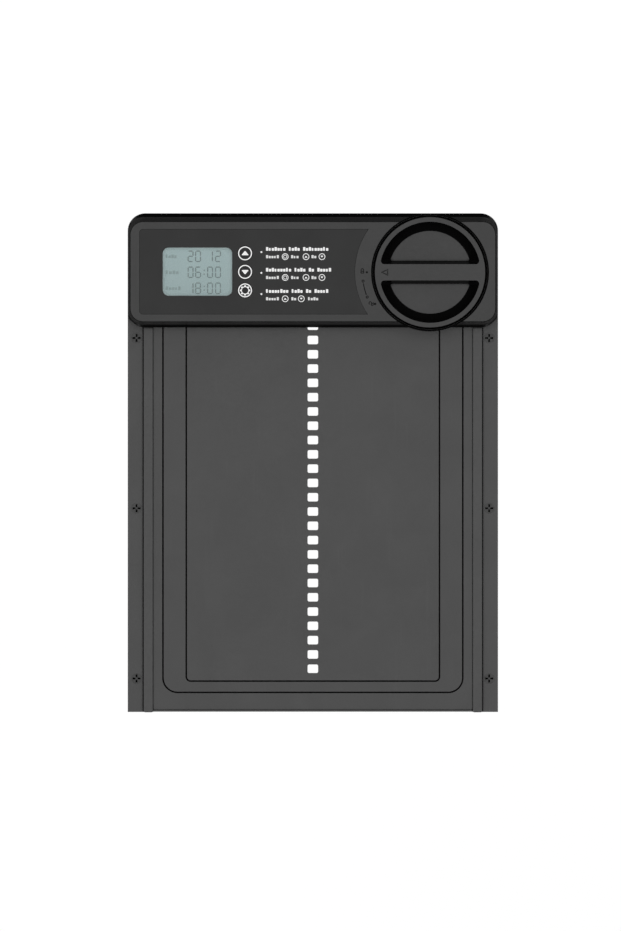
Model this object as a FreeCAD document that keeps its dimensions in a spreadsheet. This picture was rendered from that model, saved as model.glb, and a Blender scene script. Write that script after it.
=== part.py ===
import FreeCAD, Part
import Sketcher
import math
import os
import re

from FreeCAD import Placement, Rotation, Vector

# Automatic coop door: a wall-hung sheet-metal frame with a sliding door leaf, and a control housing
# across its top that lifts the leaf with a geared motor and a sprocket.
#
# X runs to the right, Y into the wall and Z up. Two lengths are used all through the model:
#   depth   distance in front of the wall plane (depth = -Y)
#   height  distance above the bottom edge of the frame
# Each finished piece is lowered by origin_height, so the model's origin is the centre of the
# wall-screw pattern, on the wall plane.

DIMENSIONS = {
    # fits: a press fit, a sliding fit, a loose fit, and how far joined shapes run into each other
    "press_gap": 0.02,
    "slip_gap": 0.05,
    "loose_gap": 0.3,
    "overlap": 0.5,
    # frame plate
    "frame_width": 297.0,
    "origin_height": 163.4,
    "plate_thick": 1.5,
    "plate_bottom": 0.2,
    "plate_top": 396.0,
    "plate_corner": 16.0,
    "rail_corner": 12.0,
    "doorway_width": 204.0,
    "doorway_bottom": 24.0,
    "doorway_top": 315.0,
    "doorway_corner": 8.0,
    "sill_width": 256.0,
    "sill_thick": 1.2,
    "sill_front": 7.2,
    # side rails and guide strips
    "rail_inner": 128.25,
    "rail_floor": 3.9,
    "flange_inner": 136.0,
    "flange_front": 3.5,
    "web_thick": 1.8,
    "web_front": 6.0,
    "strip_front": 7.6,
    "strip_width": 7.65,
    "strip_drop": 0.3,
    "strip_top": 392.0,
    "strip_corner": 1.5,
    "strip_edge": 0.35,
    # wall screws
    "screw_column": 141.45,
    "screw_low": 26.8,
    "screw_step": 136.6,
    "screw_rows": 3,
    "wall_head_radius": 4.3,
    "wall_thread_radius": 2.0,
    "wall_neck_radius": 1.7,
    "wall_neck_overlap": 0.5,
    "wall_screw_reach": 16.5,
    "wall_hole_radius": 2.2,
    "recess_span": 6.4,
    "recess_arm": 1.9,
    "recess_deep": 1.9,
    # door leaf
    "leaf_width": 266.8,
    "leaf_bottom": 1.6,
    "leaf_top": 394.0,
    "leaf_back": 4.2,
    "leaf_thick": 1.2,
    "leaf_corner": 1.0,
    "emboss_rise": 1.0,
    "emboss_run": 1.28,
    "outer_field_width": 241.8,
    "outer_field_bottom": 15.04,
    "outer_field_top": 384.0,
    "outer_field_corner": 12.3,
    "inner_field_width": 204.4,
    "inner_field_bottom": 24.1,
    "inner_field_top": 375.0,
    "inner_field_corner": 4.2,
    "slot_width": 8.41,
    "slot_tall": 6.78,
    "slot_corner": 1.3,
    "slot_pitch": 11.467,
    "slot_lowest": 34.65,
    "slot_count": 30,
    # backing shoe behind the leaf
    "shoe_width": 32.0,
    "shoe_channel": 12.0,
    "shoe_bottom": 321.0,
    "shoe_top": 345.0,
    "shoe_base_front": 3.0,
    "shoe_front": 5.9,
    "shoe_corner": 2.0,
    "shoe_bevel": 0.6,
    "peg_inset": 5.0,
    "peg_radius": 2.0,
    # control housing
    "shell_back": 8.4,
    "shell_floor": 10.4,
    "shoulder": 24.2,
    "seam": 27.0,
    "shell_bottom": 308.5,
    "shell_top": 400.0,
    "shell_corner": 14.0,
    "shell_wall": 2.4,
    "rim_width": 296.4,
    "rim_bottom": 310.4,
    "rim_top": 397.0,
    "rim_corner": 12.5,
    "face": 47.0,
    "face_inside": 44.8,
    "face_width": 293.8,
    "face_bottom": 312.8,
    "face_top": 393.5,
    "face_corner": 10.6,
    "face_fillet": 0.8,
    "foot_width": 10.4,
    "foot_inset": 1.0,
    "foot_below": 8.0,
    "foot_above": 7.0,
    "foot_corner": 3.0,
    "clamp_low": 322.0,
    "clamp_high": 386.0,
    "cover_boss_left": -100.0,
    "cover_boss_right": 30.0,
    "cover_boss_low": 316.0,
    "cover_boss_high": 389.8,
    "rear_clamp_boss": 4.0,
    "rear_cover_boss": 3.4,
    "front_clamp_boss": 3.4,
    "front_cover_boss": 3.0,
    "seat_radius": 3.4,
    "cover_sink": 3.6,
    "thread_deep": 12.0,
    "mount_bore": 6.6,
    "tooth_window_width": 10.0,
    "tooth_window_tall": 32.0,
    "tooth_window_corner": 2.0,
    "small_shank": 1.5,
    "small_hole": 1.55,
    "small_head": 2.8,
    "small_head_tall": 1.3,
    "pan_head_tall": 1.8,
    "clamp_screw_reach": 38.0,
    "cover_screw_reach": 26.0,
    "mount_screw_reach": 8.4,
    # battery bay
    "bay_x": 94.0,
    "bay_height": 352.7,
    "collar_radius": 47.3,
    "collar_front": 48.4,
    "collar_bevel": 1.35,
    "bay_bore": 45.1,
    "counterbore": 45.9,
    "neck_bore": 42.0,
    "neck_back": 34.0,
    "neck_front": 44.6,
    "lug_gate_radius": 44.2,
    "gate_margin": 2.0,
    "notch_tall": 11.0,
    "notch_reach": 4.0,
    "notch_margin": 1.0,
    "tub_radius": 45.0,
    "tub_inner": 44.1,
    "tub_floor": 12.0,
    "tub_rim": 33.2,
    "tub_rib_inner": 28.65,
    "tub_rib_outer": 31.0,
    "tub_screw_circle": 38.0,
    "tub_boss": 3.2,
    "tub_boss_tall": 7.0,
    "passage_depth": 29.8,
    "passage_wide": 2.9,
    "passage_tall": 13.0,
    "passage_corner": 0.8,
    "passage_reach": 3.0,
    "seal_gap": 0.1,
    # battery cap
    "cap_radius": 44.8,
    "cap_face": 49.0,
    "cap_flange_back": 45.0,
    "cap_bevel": 0.6,
    "skirt_radius": 41.7,
    "skirt_inner": 39.0,
    "skirt_back": 31.0,
    "cap_web_back": 36.8,
    "groove_radius": 39.6,
    "groove_back": 42.3,
    "groove_front": 44.7,
    "scoop_floor": 39.0,
    "scoop_rim_radius": 40.6,
    "scoop_floor_radius": 33.2,
    "bar_face": 13.0,
    "bar_base": 18.3,
    "scoop_rim_corner": 2.8,
    "scoop_floor_corner": 1.2,
    "bar_wall": 2.5,
    "bar_roof": 2.4,
    "bar_hollow_width": 66.0,
    "bar_hollow_corner": 2.0,
    "mark_deep": 0.5,
    "lug_radius": 43.9,
    "lug_front": 33.0,
    "lug_angle": 22.0,
    "lock_angle": 30.0,
    "oring_section": 1.15,
    # cells
    "cell_radius": 7.25,
    "cell_length": 50.5,
    "cell_pitch": 14.8,
    "cell_nub": 1.0,
    "cell_nub_radius": 2.75,
    "cell_depth": 19.75,
    "contact_thick": 0.4,
    "contact_half": 6.0,
    "contact_gap": 1.2,
    "tab_start": 5.5,
    "tab_end": 9.4,
    "tab_half": 1.5,
    "spring_wire": 0.3,
    "spring_radius": 3.2,
    "spring_half_turns": 6,
    # label and display
    "label_back": 46.2,
    "label_front": 46.6,
    "label_left": -139.3,
    "label_bottom": 318.9,
    "label_top": 387.4,
    "label_corner": 3.0,
    "label_arc": 60.2,
    "display_x": -92.6,
    "display_height": 353.2,
    "display_width": 55.8,
    "display_tall": 38.7,
    "display_corner": 4.9,
    "glass_width": 59.0,
    "glass_tall": 43.5,
    "label_gap": 0.1,
    "window_gap": 0.15,
    "glass_gap": 0.4,
    "holder_wall": 1.2,
    "holder_gap": 0.1,
    "holder_corner": 1.0,
    # control board and keys
    "board_back": 39.4,
    "board_front": 41.0,
    "board_left": -128.0,
    "board_right": -36.0,
    "board_bottom": 321.0,
    "board_top": 385.0,
    "board_screw_inset": 3.6,
    "board_corner": 1.5,
    "board_hole": 1.2,
    "post_radius": 3.0,
    "post_bore_deep": 3.2,
    "board_shank": 1.1,
    "board_screw_reach": 4.6,
    "board_head": 2.2,
    "board_head_tall": 1.5,
    "key_x": -54.4,
    "key_middle": 353.05,
    "key_pitch": 14.85,
    "key_radius": 5.95,
    "key_front": 46.9,
    "key_edge": 0.4,
    "key_hole": 6.15,
    "key_flange_radius": 7.0,
    "key_flange_back": 42.8,
    "key_flange_front": 43.8,
    "stem_radius": 1.6,
    "stem_back": 41.85,
    "switch_front": 42.0,
    "switch_width": 6.0,
    "switch_well": 0.7,
    "stem_gap": 0.15,
    # drive
    "sprocket_teeth": 9,
    "sprocket_depth": 23.22,
    "sprocket_slot": 26,
    "sprocket_tip": 18.8,
    "sprocket_root": 14.6,
    "tooth_thick": 5.6,
    "tooth_tip": 2.4,
    "sprocket_face": 6.6,
    "sprocket_hub": 6.0,
    "sprocket_hub_left": -6.0,
    "sprocket_hub_right": 6.5,
    "axle_left": -24.6,
    "clip_groove_left": 12.7,
    "clip_groove_width": 0.7,
    "clip_groove_deep": 0.45,
    "axle_end": 0.8,
    "clip_radius": 4.2,
    "clip_thick": 0.5,
    "clip_play": 0.1,
    "clip_mouth_half": 1.8,
    "axle_radius": 2.5,
    "axle_bore": 2.52,
    "pin_radius": 1.0,
    "pin_bore": 1.05,
    "pin_left": -24.8,
    "pin_length": 17.6,
    "bush_radius": 3.6,
    "bush_bore": 2.55,
    "bush_flange": 4.8,
    "bush_flange_thick": 0.8,
    "module_output": 0.8,
    "module_middle": 0.5,
    "module_motor": 0.4,
    "teeth_output": 24,
    "teeth_middle": 36,
    "teeth_motor": 40,
    "pinion_teeth": 10,
    "output_wheel_left": -13.5,
    "output_wheel_right": -9.5,
    "output_hub_left": -14.0,
    "output_hub_right": -9.0,
    "output_hub_radius": 5.0,
    "output_sleeve_left": -22.5,
    "output_sleeve_radius": 3.8,
    "train_left": -23.2,
    "train_right": -8.8,
    "train_hub": 2.0,
    "middle_wheel_left": -17.5,
    "middle_wheel_right": -14.5,
    "middle_pinion_right": -9.3,
    "fast_wheel_left": -21.3,
    "fast_wheel_right": -18.8,
    "fast_pinion_right": -14.2,
    "motor_pinion_left": -22.5,
    "motor_pinion_right": -18.4,
    "case_left": -25.0,
    "case_right": -8.5,
    "case_wall": 1.5,
    "case_back": 11.2,
    "case_front": 38.5,
    "case_bottom": 319.0,
    "case_top": 381.0,
    "case_corner": 5.0,
    "case_boss": 2.4,
    "case_hole": 1.3,
    "case_shank": 1.2,
    "case_screw_inset": 3.4,
    "case_screw_reach": 12.0,
    "case_head": 2.1,
    "case_head_tall": 1.3,
    "ear_x": -17.0,
    "ear_reach": 3.5,
    "ear_width": 9.0,
    "ear_end": 2.6,
    "ear_deep": 7.0,
    "ear_bore_deep": 5.8,
    "bearing_left": 7.5,
    "bearing_right": 12.5,
    "bearing_foot_x": 18.0,
    "bearing_past_axle": 6.2,
    "bearing_tall": 15.0,
    "bearing_corner": 3.0,
    "bearing_foot_end": 5.0,
    "bearing_foot_corner": 1.5,
    "bearing_foot_thick": 2.8,
    "bearing_boss_top": 7.0,
    "motor_radius": 12.2,
    "motor_length": 32.0,
    "motor_nose_radius": 3.0,
    "motor_tail": 1.6,
    "terminal_offset": 5.0,
    "terminal_half_thick": 0.3,
    "terminal_half_width": 1.0,
    "motor_shank": 1.0,
    "motor_bore_deep": 3.0,
    "motor_screw_offset": 8.0,
    "motor_screw_reach": 4.2,
    "motor_head": 2.0,
    "motor_head_tall": 1.1,
    "motor_shaft_radius": 0.75,
    "motor_shaft_length": 40.6,
    "motor_shaft_behind": 2.0,
    "lead_radius": 0.75,
}

DOC = FreeCAD.newDocument("coop_door")
SHEET = DOC.addObject("Spreadsheet::Sheet", "dims")
ALIASES = re.compile(r"\b(" + "|".join(DIMENSIONS) + r")\b")
PIECES = []


# ---- sizes -----------------------------------------------------------------------------------

def fill_sheet():
    for row, (alias, number) in enumerate(DIMENSIONS.items(), start=1):
        SHEET.set(f"A{row}", alias)
        SHEET.set(f"B{row}", str(number))
        SHEET.setAlias(f"B{row}", alias)
    DOC.recompute()


def formula(text):
    """The text with each dimension's name pointing at its cell."""
    return ALIASES.sub(r"dims.\1", str(text))


def value(text):
    return float(SHEET.evalExpression(formula(text)))


def bind(thing, prop, text):
    thing.setExpression(prop, formula(text))


def finish(thing, x="0", depth="0", height="0"):
    """Puts a piece's own origin at x, depth and height, and keeps it as a sub-part."""
    bind(thing, "Placement.Base.x", x)
    bind(thing, "Placement.Base.y", f"-({depth})")
    bind(thing, "Placement.Base.z", f"{height} - origin_height")
    PIECES.append(thing)
    return thing


# ---- sketches --------------------------------------------------------------------------------

def sketch_on(body, plane, offset):
    sketch = body.newObject("Sketcher::SketchObject", "outline")
    support = next(item for item in body.Origin.OriginFeatures if item.Role == plane)
    sketch.AttachmentSupport = [(support, "")]
    sketch.MapMode = "FlatFace"
    bind(sketch, "AttachmentOffset.Base.z", offset)
    return sketch


def front_sketch(body, depth):
    """Sketch in a plane parallel to the wall: x to the right, y up, facing the front."""
    return sketch_on(body, "XZ_Plane", depth)


def level_sketch(body, height):
    """Sketch in a level plane: x to the right, y into the wall, facing up."""
    return sketch_on(body, "XY_Plane", height)


def side_sketch(body, x):
    """Sketch in a plane across the door: x into the wall, y up, facing right."""
    return sketch_on(body, "YZ_Plane", x)


def dimension(sketch, kind, parts, text):
    index = sketch.addConstraint(Sketcher.Constraint(kind, *parts, value(text)))
    name = f"size_{index}"
    sketch.renameConstraint(index, name)
    bind(sketch, f"Constraints.{name}", text)


def pin_point(sketch, edge, end, x, y):
    dimension(sketch, "DistanceX", (-1, 1, edge, end), x)
    dimension(sketch, "DistanceY", (-1, 1, edge, end), y)


def circle(sketch, x, y, radius):
    centre = Vector(value(x), value(y), 0)
    index = sketch.addGeometry(Part.Circle(centre, Vector(0, 0, 1), value(radius)), False)
    dimension(sketch, "Radius", (index,), radius)
    pin_point(sketch, index, 3, x, y)


def polygon(sketch, corners):
    """Closed outline of straight sides through corners, each an (x, y) pair of formulas."""
    points = [Vector(value(x), value(y), 0) for x, y in corners]
    first = sketch.GeometryCount
    count = len(points)
    for number in range(count):
        side = Part.LineSegment(points[number], points[(number + 1) % count])
        sketch.addGeometry(side, False)
    for number, (x, y) in enumerate(corners):
        before = first + (number - 1) % count
        sketch.addConstraint(Sketcher.Constraint("Coincident", before, 2, first + number, 1))
        pin_point(sketch, first + number, 1, x, y)


def rectangle(sketch, x, y, width, tall, corner="0"):
    """Rectangle about the centre x, y, with rounded corners where corner isn't zero."""
    if value(corner) == 0:
        left = f"{x} - ({width}) / 2"
        right = f"{x} + ({width}) / 2"
        low = f"{y} - ({tall}) / 2"
        high = f"{y} + ({tall}) / 2"
        polygon(sketch, [(left, low), (right, low), (right, high), (left, high)])
        return
    centre = Vector(value(x), value(y), 0)
    half_x = value(f"({width}) / 2")
    half_y = value(f"({tall}) / 2")
    radius = value(corner)
    flat_x = half_x - radius
    flat_y = half_y - radius
    first = sketch.GeometryCount
    sides = [
        (Vector(-flat_x, -half_y, 0), Vector(flat_x, -half_y, 0)),
        (Vector(half_x, -flat_y, 0), Vector(half_x, flat_y, 0)),
        (Vector(flat_x, half_y, 0), Vector(-flat_x, half_y, 0)),
        (Vector(-half_x, flat_y, 0), Vector(-half_x, -flat_y, 0)),
    ]
    for start, end in sides:
        sketch.addGeometry(Part.LineSegment(centre + start, centre + end), False)
    for number, (right, up) in enumerate(((1, -1), (1, 1), (-1, 1), (-1, -1))):
        middle = centre + Vector(right * flat_x, up * flat_y, 0)
        turn = (number - 1) * math.pi / 2
        round_end = Part.Circle(middle, Vector(0, 0, 1), radius)
        sketch.addGeometry(Part.ArcOfCircle(round_end, turn, turn + math.pi / 2), False)
    for number in range(4):
        arc = first + 4 + number
        following = first + (number + 1) % 4
        direction = "Horizontal" if number % 2 == 0 else "Vertical"
        sketch.addConstraint(Sketcher.Constraint(direction, first + number))
        sketch.addConstraint(Sketcher.Constraint("Tangent", first + number, 2, arc, 1))
        sketch.addConstraint(Sketcher.Constraint("Tangent", arc, 2, following, 1))
        if number:
            sketch.addConstraint(Sketcher.Constraint("Equal", first + 4, arc))
    dimension(sketch, "Radius", (first + 4,), corner)
    dimension(sketch, "DistanceX", (first + 3, 1, first + 1, 1), width)
    dimension(sketch, "DistanceY", (first, 1, first + 2, 1), tall)
    dimension(sketch, "DistanceX", (-1, 1, first + 1, 1), f"{x} + ({width}) / 2")
    dimension(sketch, "DistanceY", (-1, 1, first + 2, 1), f"{y} + ({tall}) / 2")


def between(low, high):
    """Centre and size of the stretch from low to high."""
    return f"({low} + {high}) / 2", f"({high}) - ({low})"


def upright_rectangle(sketch, x, width, low, high, corner="0"):
    middle, tall = between(low, high)
    rectangle(sketch, x, middle, width, tall, corner)


# ---- features --------------------------------------------------------------------------------

def new_body(label):
    return DOC.addObject("PartDesign::Body", label)


def pad(body, sketch, length, taper=None):
    """Grows the sketch to its own front by length, drawn in by the taper angle."""
    feature = body.newObject("PartDesign::Pad", "pad")
    feature.Profile = sketch
    bind(feature, "Length", length)
    if taper:
        bind(feature, "TaperAngle", f"-({taper})")
    DOC.recompute()
    return feature


def checked_cut(body, feature, before):
    DOC.recompute()
    if body.Shape.Volume > before - 1e-3:
        raise ValueError(f"{body.Label}: {feature.Label} removes nothing")
    return feature


def pocket(body, sketch, length, forward=False, taper=None):
    """Cuts the sketch backwards by length, or along the way it faces."""
    before = body.Shape.Volume
    feature = body.newObject("PartDesign::Pocket", "pocket")
    feature.Profile = sketch
    feature.Reversed = forward
    bind(feature, "Length", length)
    if taper:
        bind(feature, "TaperAngle", f"-({taper})")
    return checked_cut(body, feature, before)


def loft(body, sketches, subtract=False):
    before = body.Shape.Volume if subtract else 0
    kind = "SubtractiveLoft" if subtract else "AdditiveLoft"
    feature = body.newObject(f"PartDesign::{kind}", "loft")
    feature.Profile = sketches[0]
    feature.Sections = sketches[1:]
    feature.Ruled = True
    if subtract:
        return checked_cut(body, feature, before)
    DOC.recompute()
    return feature


def turned(body, sketch):
    """Solid of revolution about the sketch's own upright axis."""
    feature = body.newObject("PartDesign::Revolution", "turned")
    feature.Profile = sketch
    feature.ReferenceAxis = (sketch, ["V_Axis"])
    feature.Angle = 360
    DOC.recompute()
    return feature


def pattern_row(body, feature, role, length, count):
    row = body.newObject("PartDesign::LinearPattern", "row")
    axis = next(item for item in body.Origin.OriginFeatures if item.Role == role)
    row.Originals = [feature]
    row.Direction = (axis, [""])
    bind(row, "Length", length)
    bind(row, "Occurrences", count)
    body.Tip = row
    DOC.recompute()
    return row


def pattern_ring(body, feature, role, count):
    ring = body.newObject("PartDesign::PolarPattern", "ring")
    axis = next(item for item in body.Origin.OriginFeatures if item.Role == role)
    ring.Originals = [feature]
    ring.Axis = (axis, [""])
    ring.Angle = 360
    bind(ring, "Occurrences", count)
    body.Tip = ring
    DOC.recompute()
    return ring


def edges_where(shape, wanted):
    return [f"Edge{number}" for number, edge in enumerate(shape.Edges, start=1) if wanted(edge)]


def dress_edges(body, kind, prop, size, wanted):
    base = body.Tip
    feature = body.newObject(f"PartDesign::{kind}", kind.lower())
    feature.Base = (base, edges_where(base.Shape, wanted))
    bind(feature, prop, size)
    DOC.recompute()
    return feature


def fillet(body, radius, wanted):
    return dress_edges(body, "Fillet", "Radius", radius, wanted)


def chamfer(body, size, wanted):
    return dress_edges(body, "Chamfer", "Size", size, wanted)


def lies_at_depth(depth):
    """Test for edges that lie in the plane at this depth."""
    place = -value(depth)

    def wanted(edge):
        box = edge.BoundBox
        return abs(box.YMin - place) < 1e-4 and abs(box.YMax - place) < 1e-4

    return wanted


def runs_through(low, high):
    """Test for straight edges square to the wall whose height is from low to high."""
    bottom = value(low)
    top = value(high)

    def wanted(edge):
        box = edge.BoundBox
        return box.XLength < 1e-4 and box.ZLength < 1e-4 and bottom <= box.ZMin <= top

    return wanted


# ---- plain solids ----------------------------------------------------------------------------

def block(x0, x1, depth0, depth1, height0, height1):
    thing = DOC.addObject("Part::Box", "block")
    bind(thing, "Length", f"({x1}) - ({x0})")
    bind(thing, "Width", f"({depth1}) - ({depth0})")
    bind(thing, "Height", f"({height1}) - ({height0})")
    bind(thing, "Placement.Base.x", x0)
    bind(thing, "Placement.Base.y", f"-({depth1})")
    bind(thing, "Placement.Base.z", height0)
    return thing


def rod(radius, length, x="0", y="0", z="0", along="Z"):
    """Cylinder from x, y, z along +Z, +X, or the front."""
    thing = DOC.addObject("Part::Cylinder", "rod")
    bind(thing, "Radius", radius)
    bind(thing, "Height", length)
    turns = {"Z": Rotation(), "X": FACING["right"], "front": FACING["front"]}
    thing.Placement = Placement(Vector(), turns[along])
    bind(thing, "Placement.Base.x", x)
    bind(thing, "Placement.Base.y", y)
    bind(thing, "Placement.Base.z", z)
    return thing


def fused(things, label="joined"):
    thing = DOC.addObject("Part::MultiFuse", label)
    thing.Shapes = things
    return thing


def trimmed(base, tools, label="trimmed"):
    thing = DOC.addObject("Part::Cut", label)
    thing.Base = base
    thing.Tool = tools[0] if len(tools) == 1 else fused(tools)
    return thing


def group(things, label):
    thing = DOC.addObject("Part::Compound", label)
    thing.Links = things
    return thing


FACING = {
    "front": Rotation(Vector(1, 0, 0), 90),
    "back": Rotation(Vector(1, 0, 0), -90),
    "right": Rotation(Vector(0, 1, 0), 90),
}


def screw(facing, x, depth, height, shank, reach, head, head_tall, sunk, recess=None):
    """Cross-head screw whose head faces front, back or right.

    A sunk head has its flat face at the given place; a pan head has its underside there.
    """
    if sunk:
        parts = [rod(shank, f"{reach} - ({head_tall})", z=f"-({reach})")]
        cone = DOC.addObject("Part::Cone", "head")
        bind(cone, "Radius1", shank)
        bind(cone, "Radius2", head)
        bind(cone, "Height", head_tall)
        bind(cone, "Placement.Base.z", f"-({head_tall})")
        parts.append(cone)
        top = "0"
    else:
        parts = [rod(shank, reach, z=f"-({reach})"), rod(head, head_tall)]
        top = head_tall
    span, arm, deep = recess or (f"{head} * 1.1", f"{head} * 0.3", f"{head_tall} * 0.6")
    arms = []
    for long_x, long_y in ((span, arm), (arm, span)):
        slot = DOC.addObject("Part::Box", "arm")
        bind(slot, "Length", long_x)
        bind(slot, "Width", long_y)
        bind(slot, "Height", f"{deep} + 1")
        bind(slot, "Placement.Base.x", f"-({long_x}) / 2")
        bind(slot, "Placement.Base.y", f"-({long_y}) / 2")
        bind(slot, "Placement.Base.z", f"{top} - {deep}")
        arms.append(slot)
    thing = trimmed(fused(parts), arms, "screw")
    thing.Placement = Placement(Vector(), FACING[facing])
    bind(thing, "Placement.Base.x", x)
    bind(thing, "Placement.Base.y", f"-({depth})")
    bind(thing, "Placement.Base.z", height)
    return thing


# ---- frame -----------------------------------------------------------------------------------

def screw_heights():
    return [f"screw_low + {step} * screw_step" for step in range(round(value("screw_rows")))]


def clamp_places():
    """Places of the four long screws that clamp the housing to the frame."""
    return [(f"{side} * screw_column", height)
            for side in (-1, 1) for height in ("clamp_low", "clamp_high")]


def cover_places():
    return [(x, height) for x in ("cover_boss_left", "cover_boss_right")
            for height in ("cover_boss_low", "cover_boss_high")]


def tub_places():
    return [(f"bay_x + {right} * tub_screw_circle", f"bay_height + {up} * tub_screw_circle")
            for right, up in ((1, 0), (0, 1), (-1, 0), (0, -1))]


SPROCKET_HEIGHT = "(slot_lowest + sprocket_slot * slot_pitch)"


def drive_places():
    """Screws from behind into the gearbox ears and into the outer bearing's foot."""
    return [("ear_x", "case_bottom - ear_reach"), ("ear_x", "case_top + ear_reach"),
            ("bearing_foot_x", SPROCKET_HEIGHT)]


def make_back_plate():
    body = new_body("back_plate")
    sheet = front_sketch(body, "0")
    upright_rectangle(sheet, "0", "frame_width", "plate_bottom", "plate_top")
    pad(body, sheet, "plate_thick")
    fillet(body, "plate_corner", runs_through("plate_top - 1", "plate_top + 1"))
    doorway = front_sketch(body, "0")
    upright_rectangle(doorway, "0", "doorway_width", "doorway_bottom", "doorway_top", "doorway_corner")
    pocket(body, doorway, "plate_thick", forward=True)
    sill = level_sketch(body, "plate_bottom")
    middle, reach = between("-sill_front", "-plate_thick / 2")
    rectangle(sill, "0", middle, "sill_width", reach)
    pad(body, sill, "sill_thick")
    holes = front_sketch(body, "0")
    for side in (-1, 1):
        for height in screw_heights():
            circle(holes, f"{side} * screw_column", height, "wall_hole_radius")
    for height in ("shoe_bottom + peg_inset", "shoe_top - peg_inset"):
        circle(holes, "0", height, "peg_radius + slip_gap")
    pocket(body, holes, "plate_thick", forward=True)
    sinks = front_sketch(body, "0")
    for x, height in clamp_places():
        circle(sinks, x, height, "small_head + slip_gap")
    pocket(body, sinks, "plate_thick", forward=True,
           taper="atan((small_head + slip_gap - small_hole) / plate_thick)")
    finish(body)


def make_side_rail(label, side):
    body = new_body(label)
    profile = level_sketch(body, "0")
    corners = [
        ("frame_width / 2", "plate_thick"),
        ("frame_width / 2", "flange_front"),
        ("flange_inner", "flange_front"),
        ("flange_inner", "web_front"),
        ("flange_inner - web_thick", "web_front"),
        ("flange_inner - web_thick", "rail_floor"),
        ("rail_inner", "rail_floor"),
        ("rail_inner", "plate_thick"),
    ]
    polygon(profile, [(f"{side} * ({x})", f"-{depth}") for x, depth in corners])
    pad(body, profile, "plate_top")
    fillet(body, "rail_corner", outer_top_corner(side))
    sink = front_sketch(body, "flange_front")
    circle(sink, f"{side} * screw_column", "screw_low", "wall_head_radius + slip_gap")
    first = pocket(body, sink, "flange_front - plate_thick",
                   taper="atan((wall_head_radius - wall_neck_radius) / (flange_front - plate_thick))")
    pattern_row(body, first, "Z_Axis", "screw_step * (screw_rows - 1)", "screw_rows")
    holes = front_sketch(body, "flange_front")
    for x, height in clamp_places():
        if value(x) * side > 0:
            circle(holes, x, height, "small_hole")
    pocket(body, holes, "flange_front - plate_thick")
    finish(body)


def outer_top_corner(side):
    """Test for the flange's outer top corner."""
    edge_x = side * value("frame_width") / 2
    top = value("plate_top")

    def wanted(edge):
        box = edge.BoundBox
        upright = box.XLength < 1e-4 and box.ZLength < 1e-4
        return upright and abs(box.ZMin - top) < 1e-4 and abs(box.XMin - edge_x) < 1e-4

    return wanted


def make_guide_strip(label, side):
    body = new_body(label)
    face = front_sketch(body, "web_front")
    upright_rectangle(face, f"{side} * (rail_inner + strip_width / 2)", "strip_width",
                      "-strip_drop", "strip_top")
    pad(body, face, "strip_front - web_front")
    fillet(body, "strip_corner", runs_through("-1", "1"))
    fillet(body, "strip_edge", lies_at_depth("strip_front"))
    finish(body)


def make_backing_shoe():
    body = new_body("backing_shoe")
    base = front_sketch(body, "plate_thick")
    upright_rectangle(base, "0", "shoe_width", "shoe_bottom", "shoe_top", "shoe_corner")
    pad(body, base, "shoe_base_front - plate_thick")
    rails = front_sketch(body, "shoe_base_front")
    for side in (-1, 1):
        upright_rectangle(rails, f"{side} * (shoe_width + shoe_channel) / 4",
                          "(shoe_width - shoe_channel) / 2", "shoe_bottom", "shoe_top", "shoe_corner")
    pad(body, rails, "shoe_front - shoe_base_front")
    chamfer(body, "shoe_bevel", lies_at_depth("shoe_front"))
    pegs = front_sketch(body, "0")
    for height in ("shoe_bottom + peg_inset", "shoe_top - peg_inset"):
        circle(pegs, "0", height, "peg_radius")
    pad(body, pegs, "plate_thick")
    finish(body)


def make_wall_screws():
    """Countersunk screws with a thin neck in the frame and the full thread from the wall plane back."""
    screws = []
    for side in (-1, 1):
        for height in screw_heights():
            column = f"{side} * screw_column"
            neck = screw("front", column, "flange_front", height,
                         "wall_neck_radius", "flange_front + wall_neck_overlap",
                         "wall_head_radius", "flange_front - plate_thick", True,
                         ("recess_span", "recess_arm", "recess_deep"))
            thread = rod("wall_thread_radius", "wall_screw_reach",
                         x=column, y="wall_screw_reach", z=height, along="front")
            screws.append(fused([neck, thread], "wall_screw"))
    finish(group(screws, "wall_screws"))


# ---- door leaf -------------------------------------------------------------------------------

def make_door_panel():
    """Pressed sheet: two raised fields one on the other, hollow behind, with a row of rack slots."""
    body = new_body("door_panel")
    slope = "atan(emboss_run / emboss_rise)"
    fields = [
        ("outer_field_width", "outer_field_bottom", "outer_field_top", "outer_field_corner"),
        ("inner_field_width", "inner_field_bottom", "inner_field_top", "inner_field_corner"),
    ]
    sheet = front_sketch(body, "leaf_back")
    upright_rectangle(sheet, "0", "leaf_width", "leaf_bottom", "leaf_top", "leaf_corner")
    pad(body, sheet, "leaf_thick")
    for level, (width, bottom, top, corner) in enumerate(fields):
        raised = front_sketch(body, f"leaf_back + leaf_thick + {level} * emboss_rise")
        upright_rectangle(raised, "0", width, bottom, top, corner)
        pad(body, raised, "emboss_rise", slope)
    for level, (width, bottom, top, corner) in enumerate(fields):
        hollow = front_sketch(body, f"leaf_back + {level} * emboss_rise")
        upright_rectangle(hollow, "0", width, bottom, top, corner)
        pocket(body, hollow, "emboss_rise", forward=True, taper=slope)
    slot = front_sketch(body, "leaf_back")
    rectangle(slot, "0", "slot_lowest", "slot_width", "slot_tall", "slot_corner")
    lowest = pocket(body, slot, "leaf_thick + 2 * emboss_rise", forward=True)
    pattern_row(body, lowest, "Z_Axis", "slot_pitch * (slot_count - 1)", "slot_count")
    finish(body)


# ---- housing ---------------------------------------------------------------------------------

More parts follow.
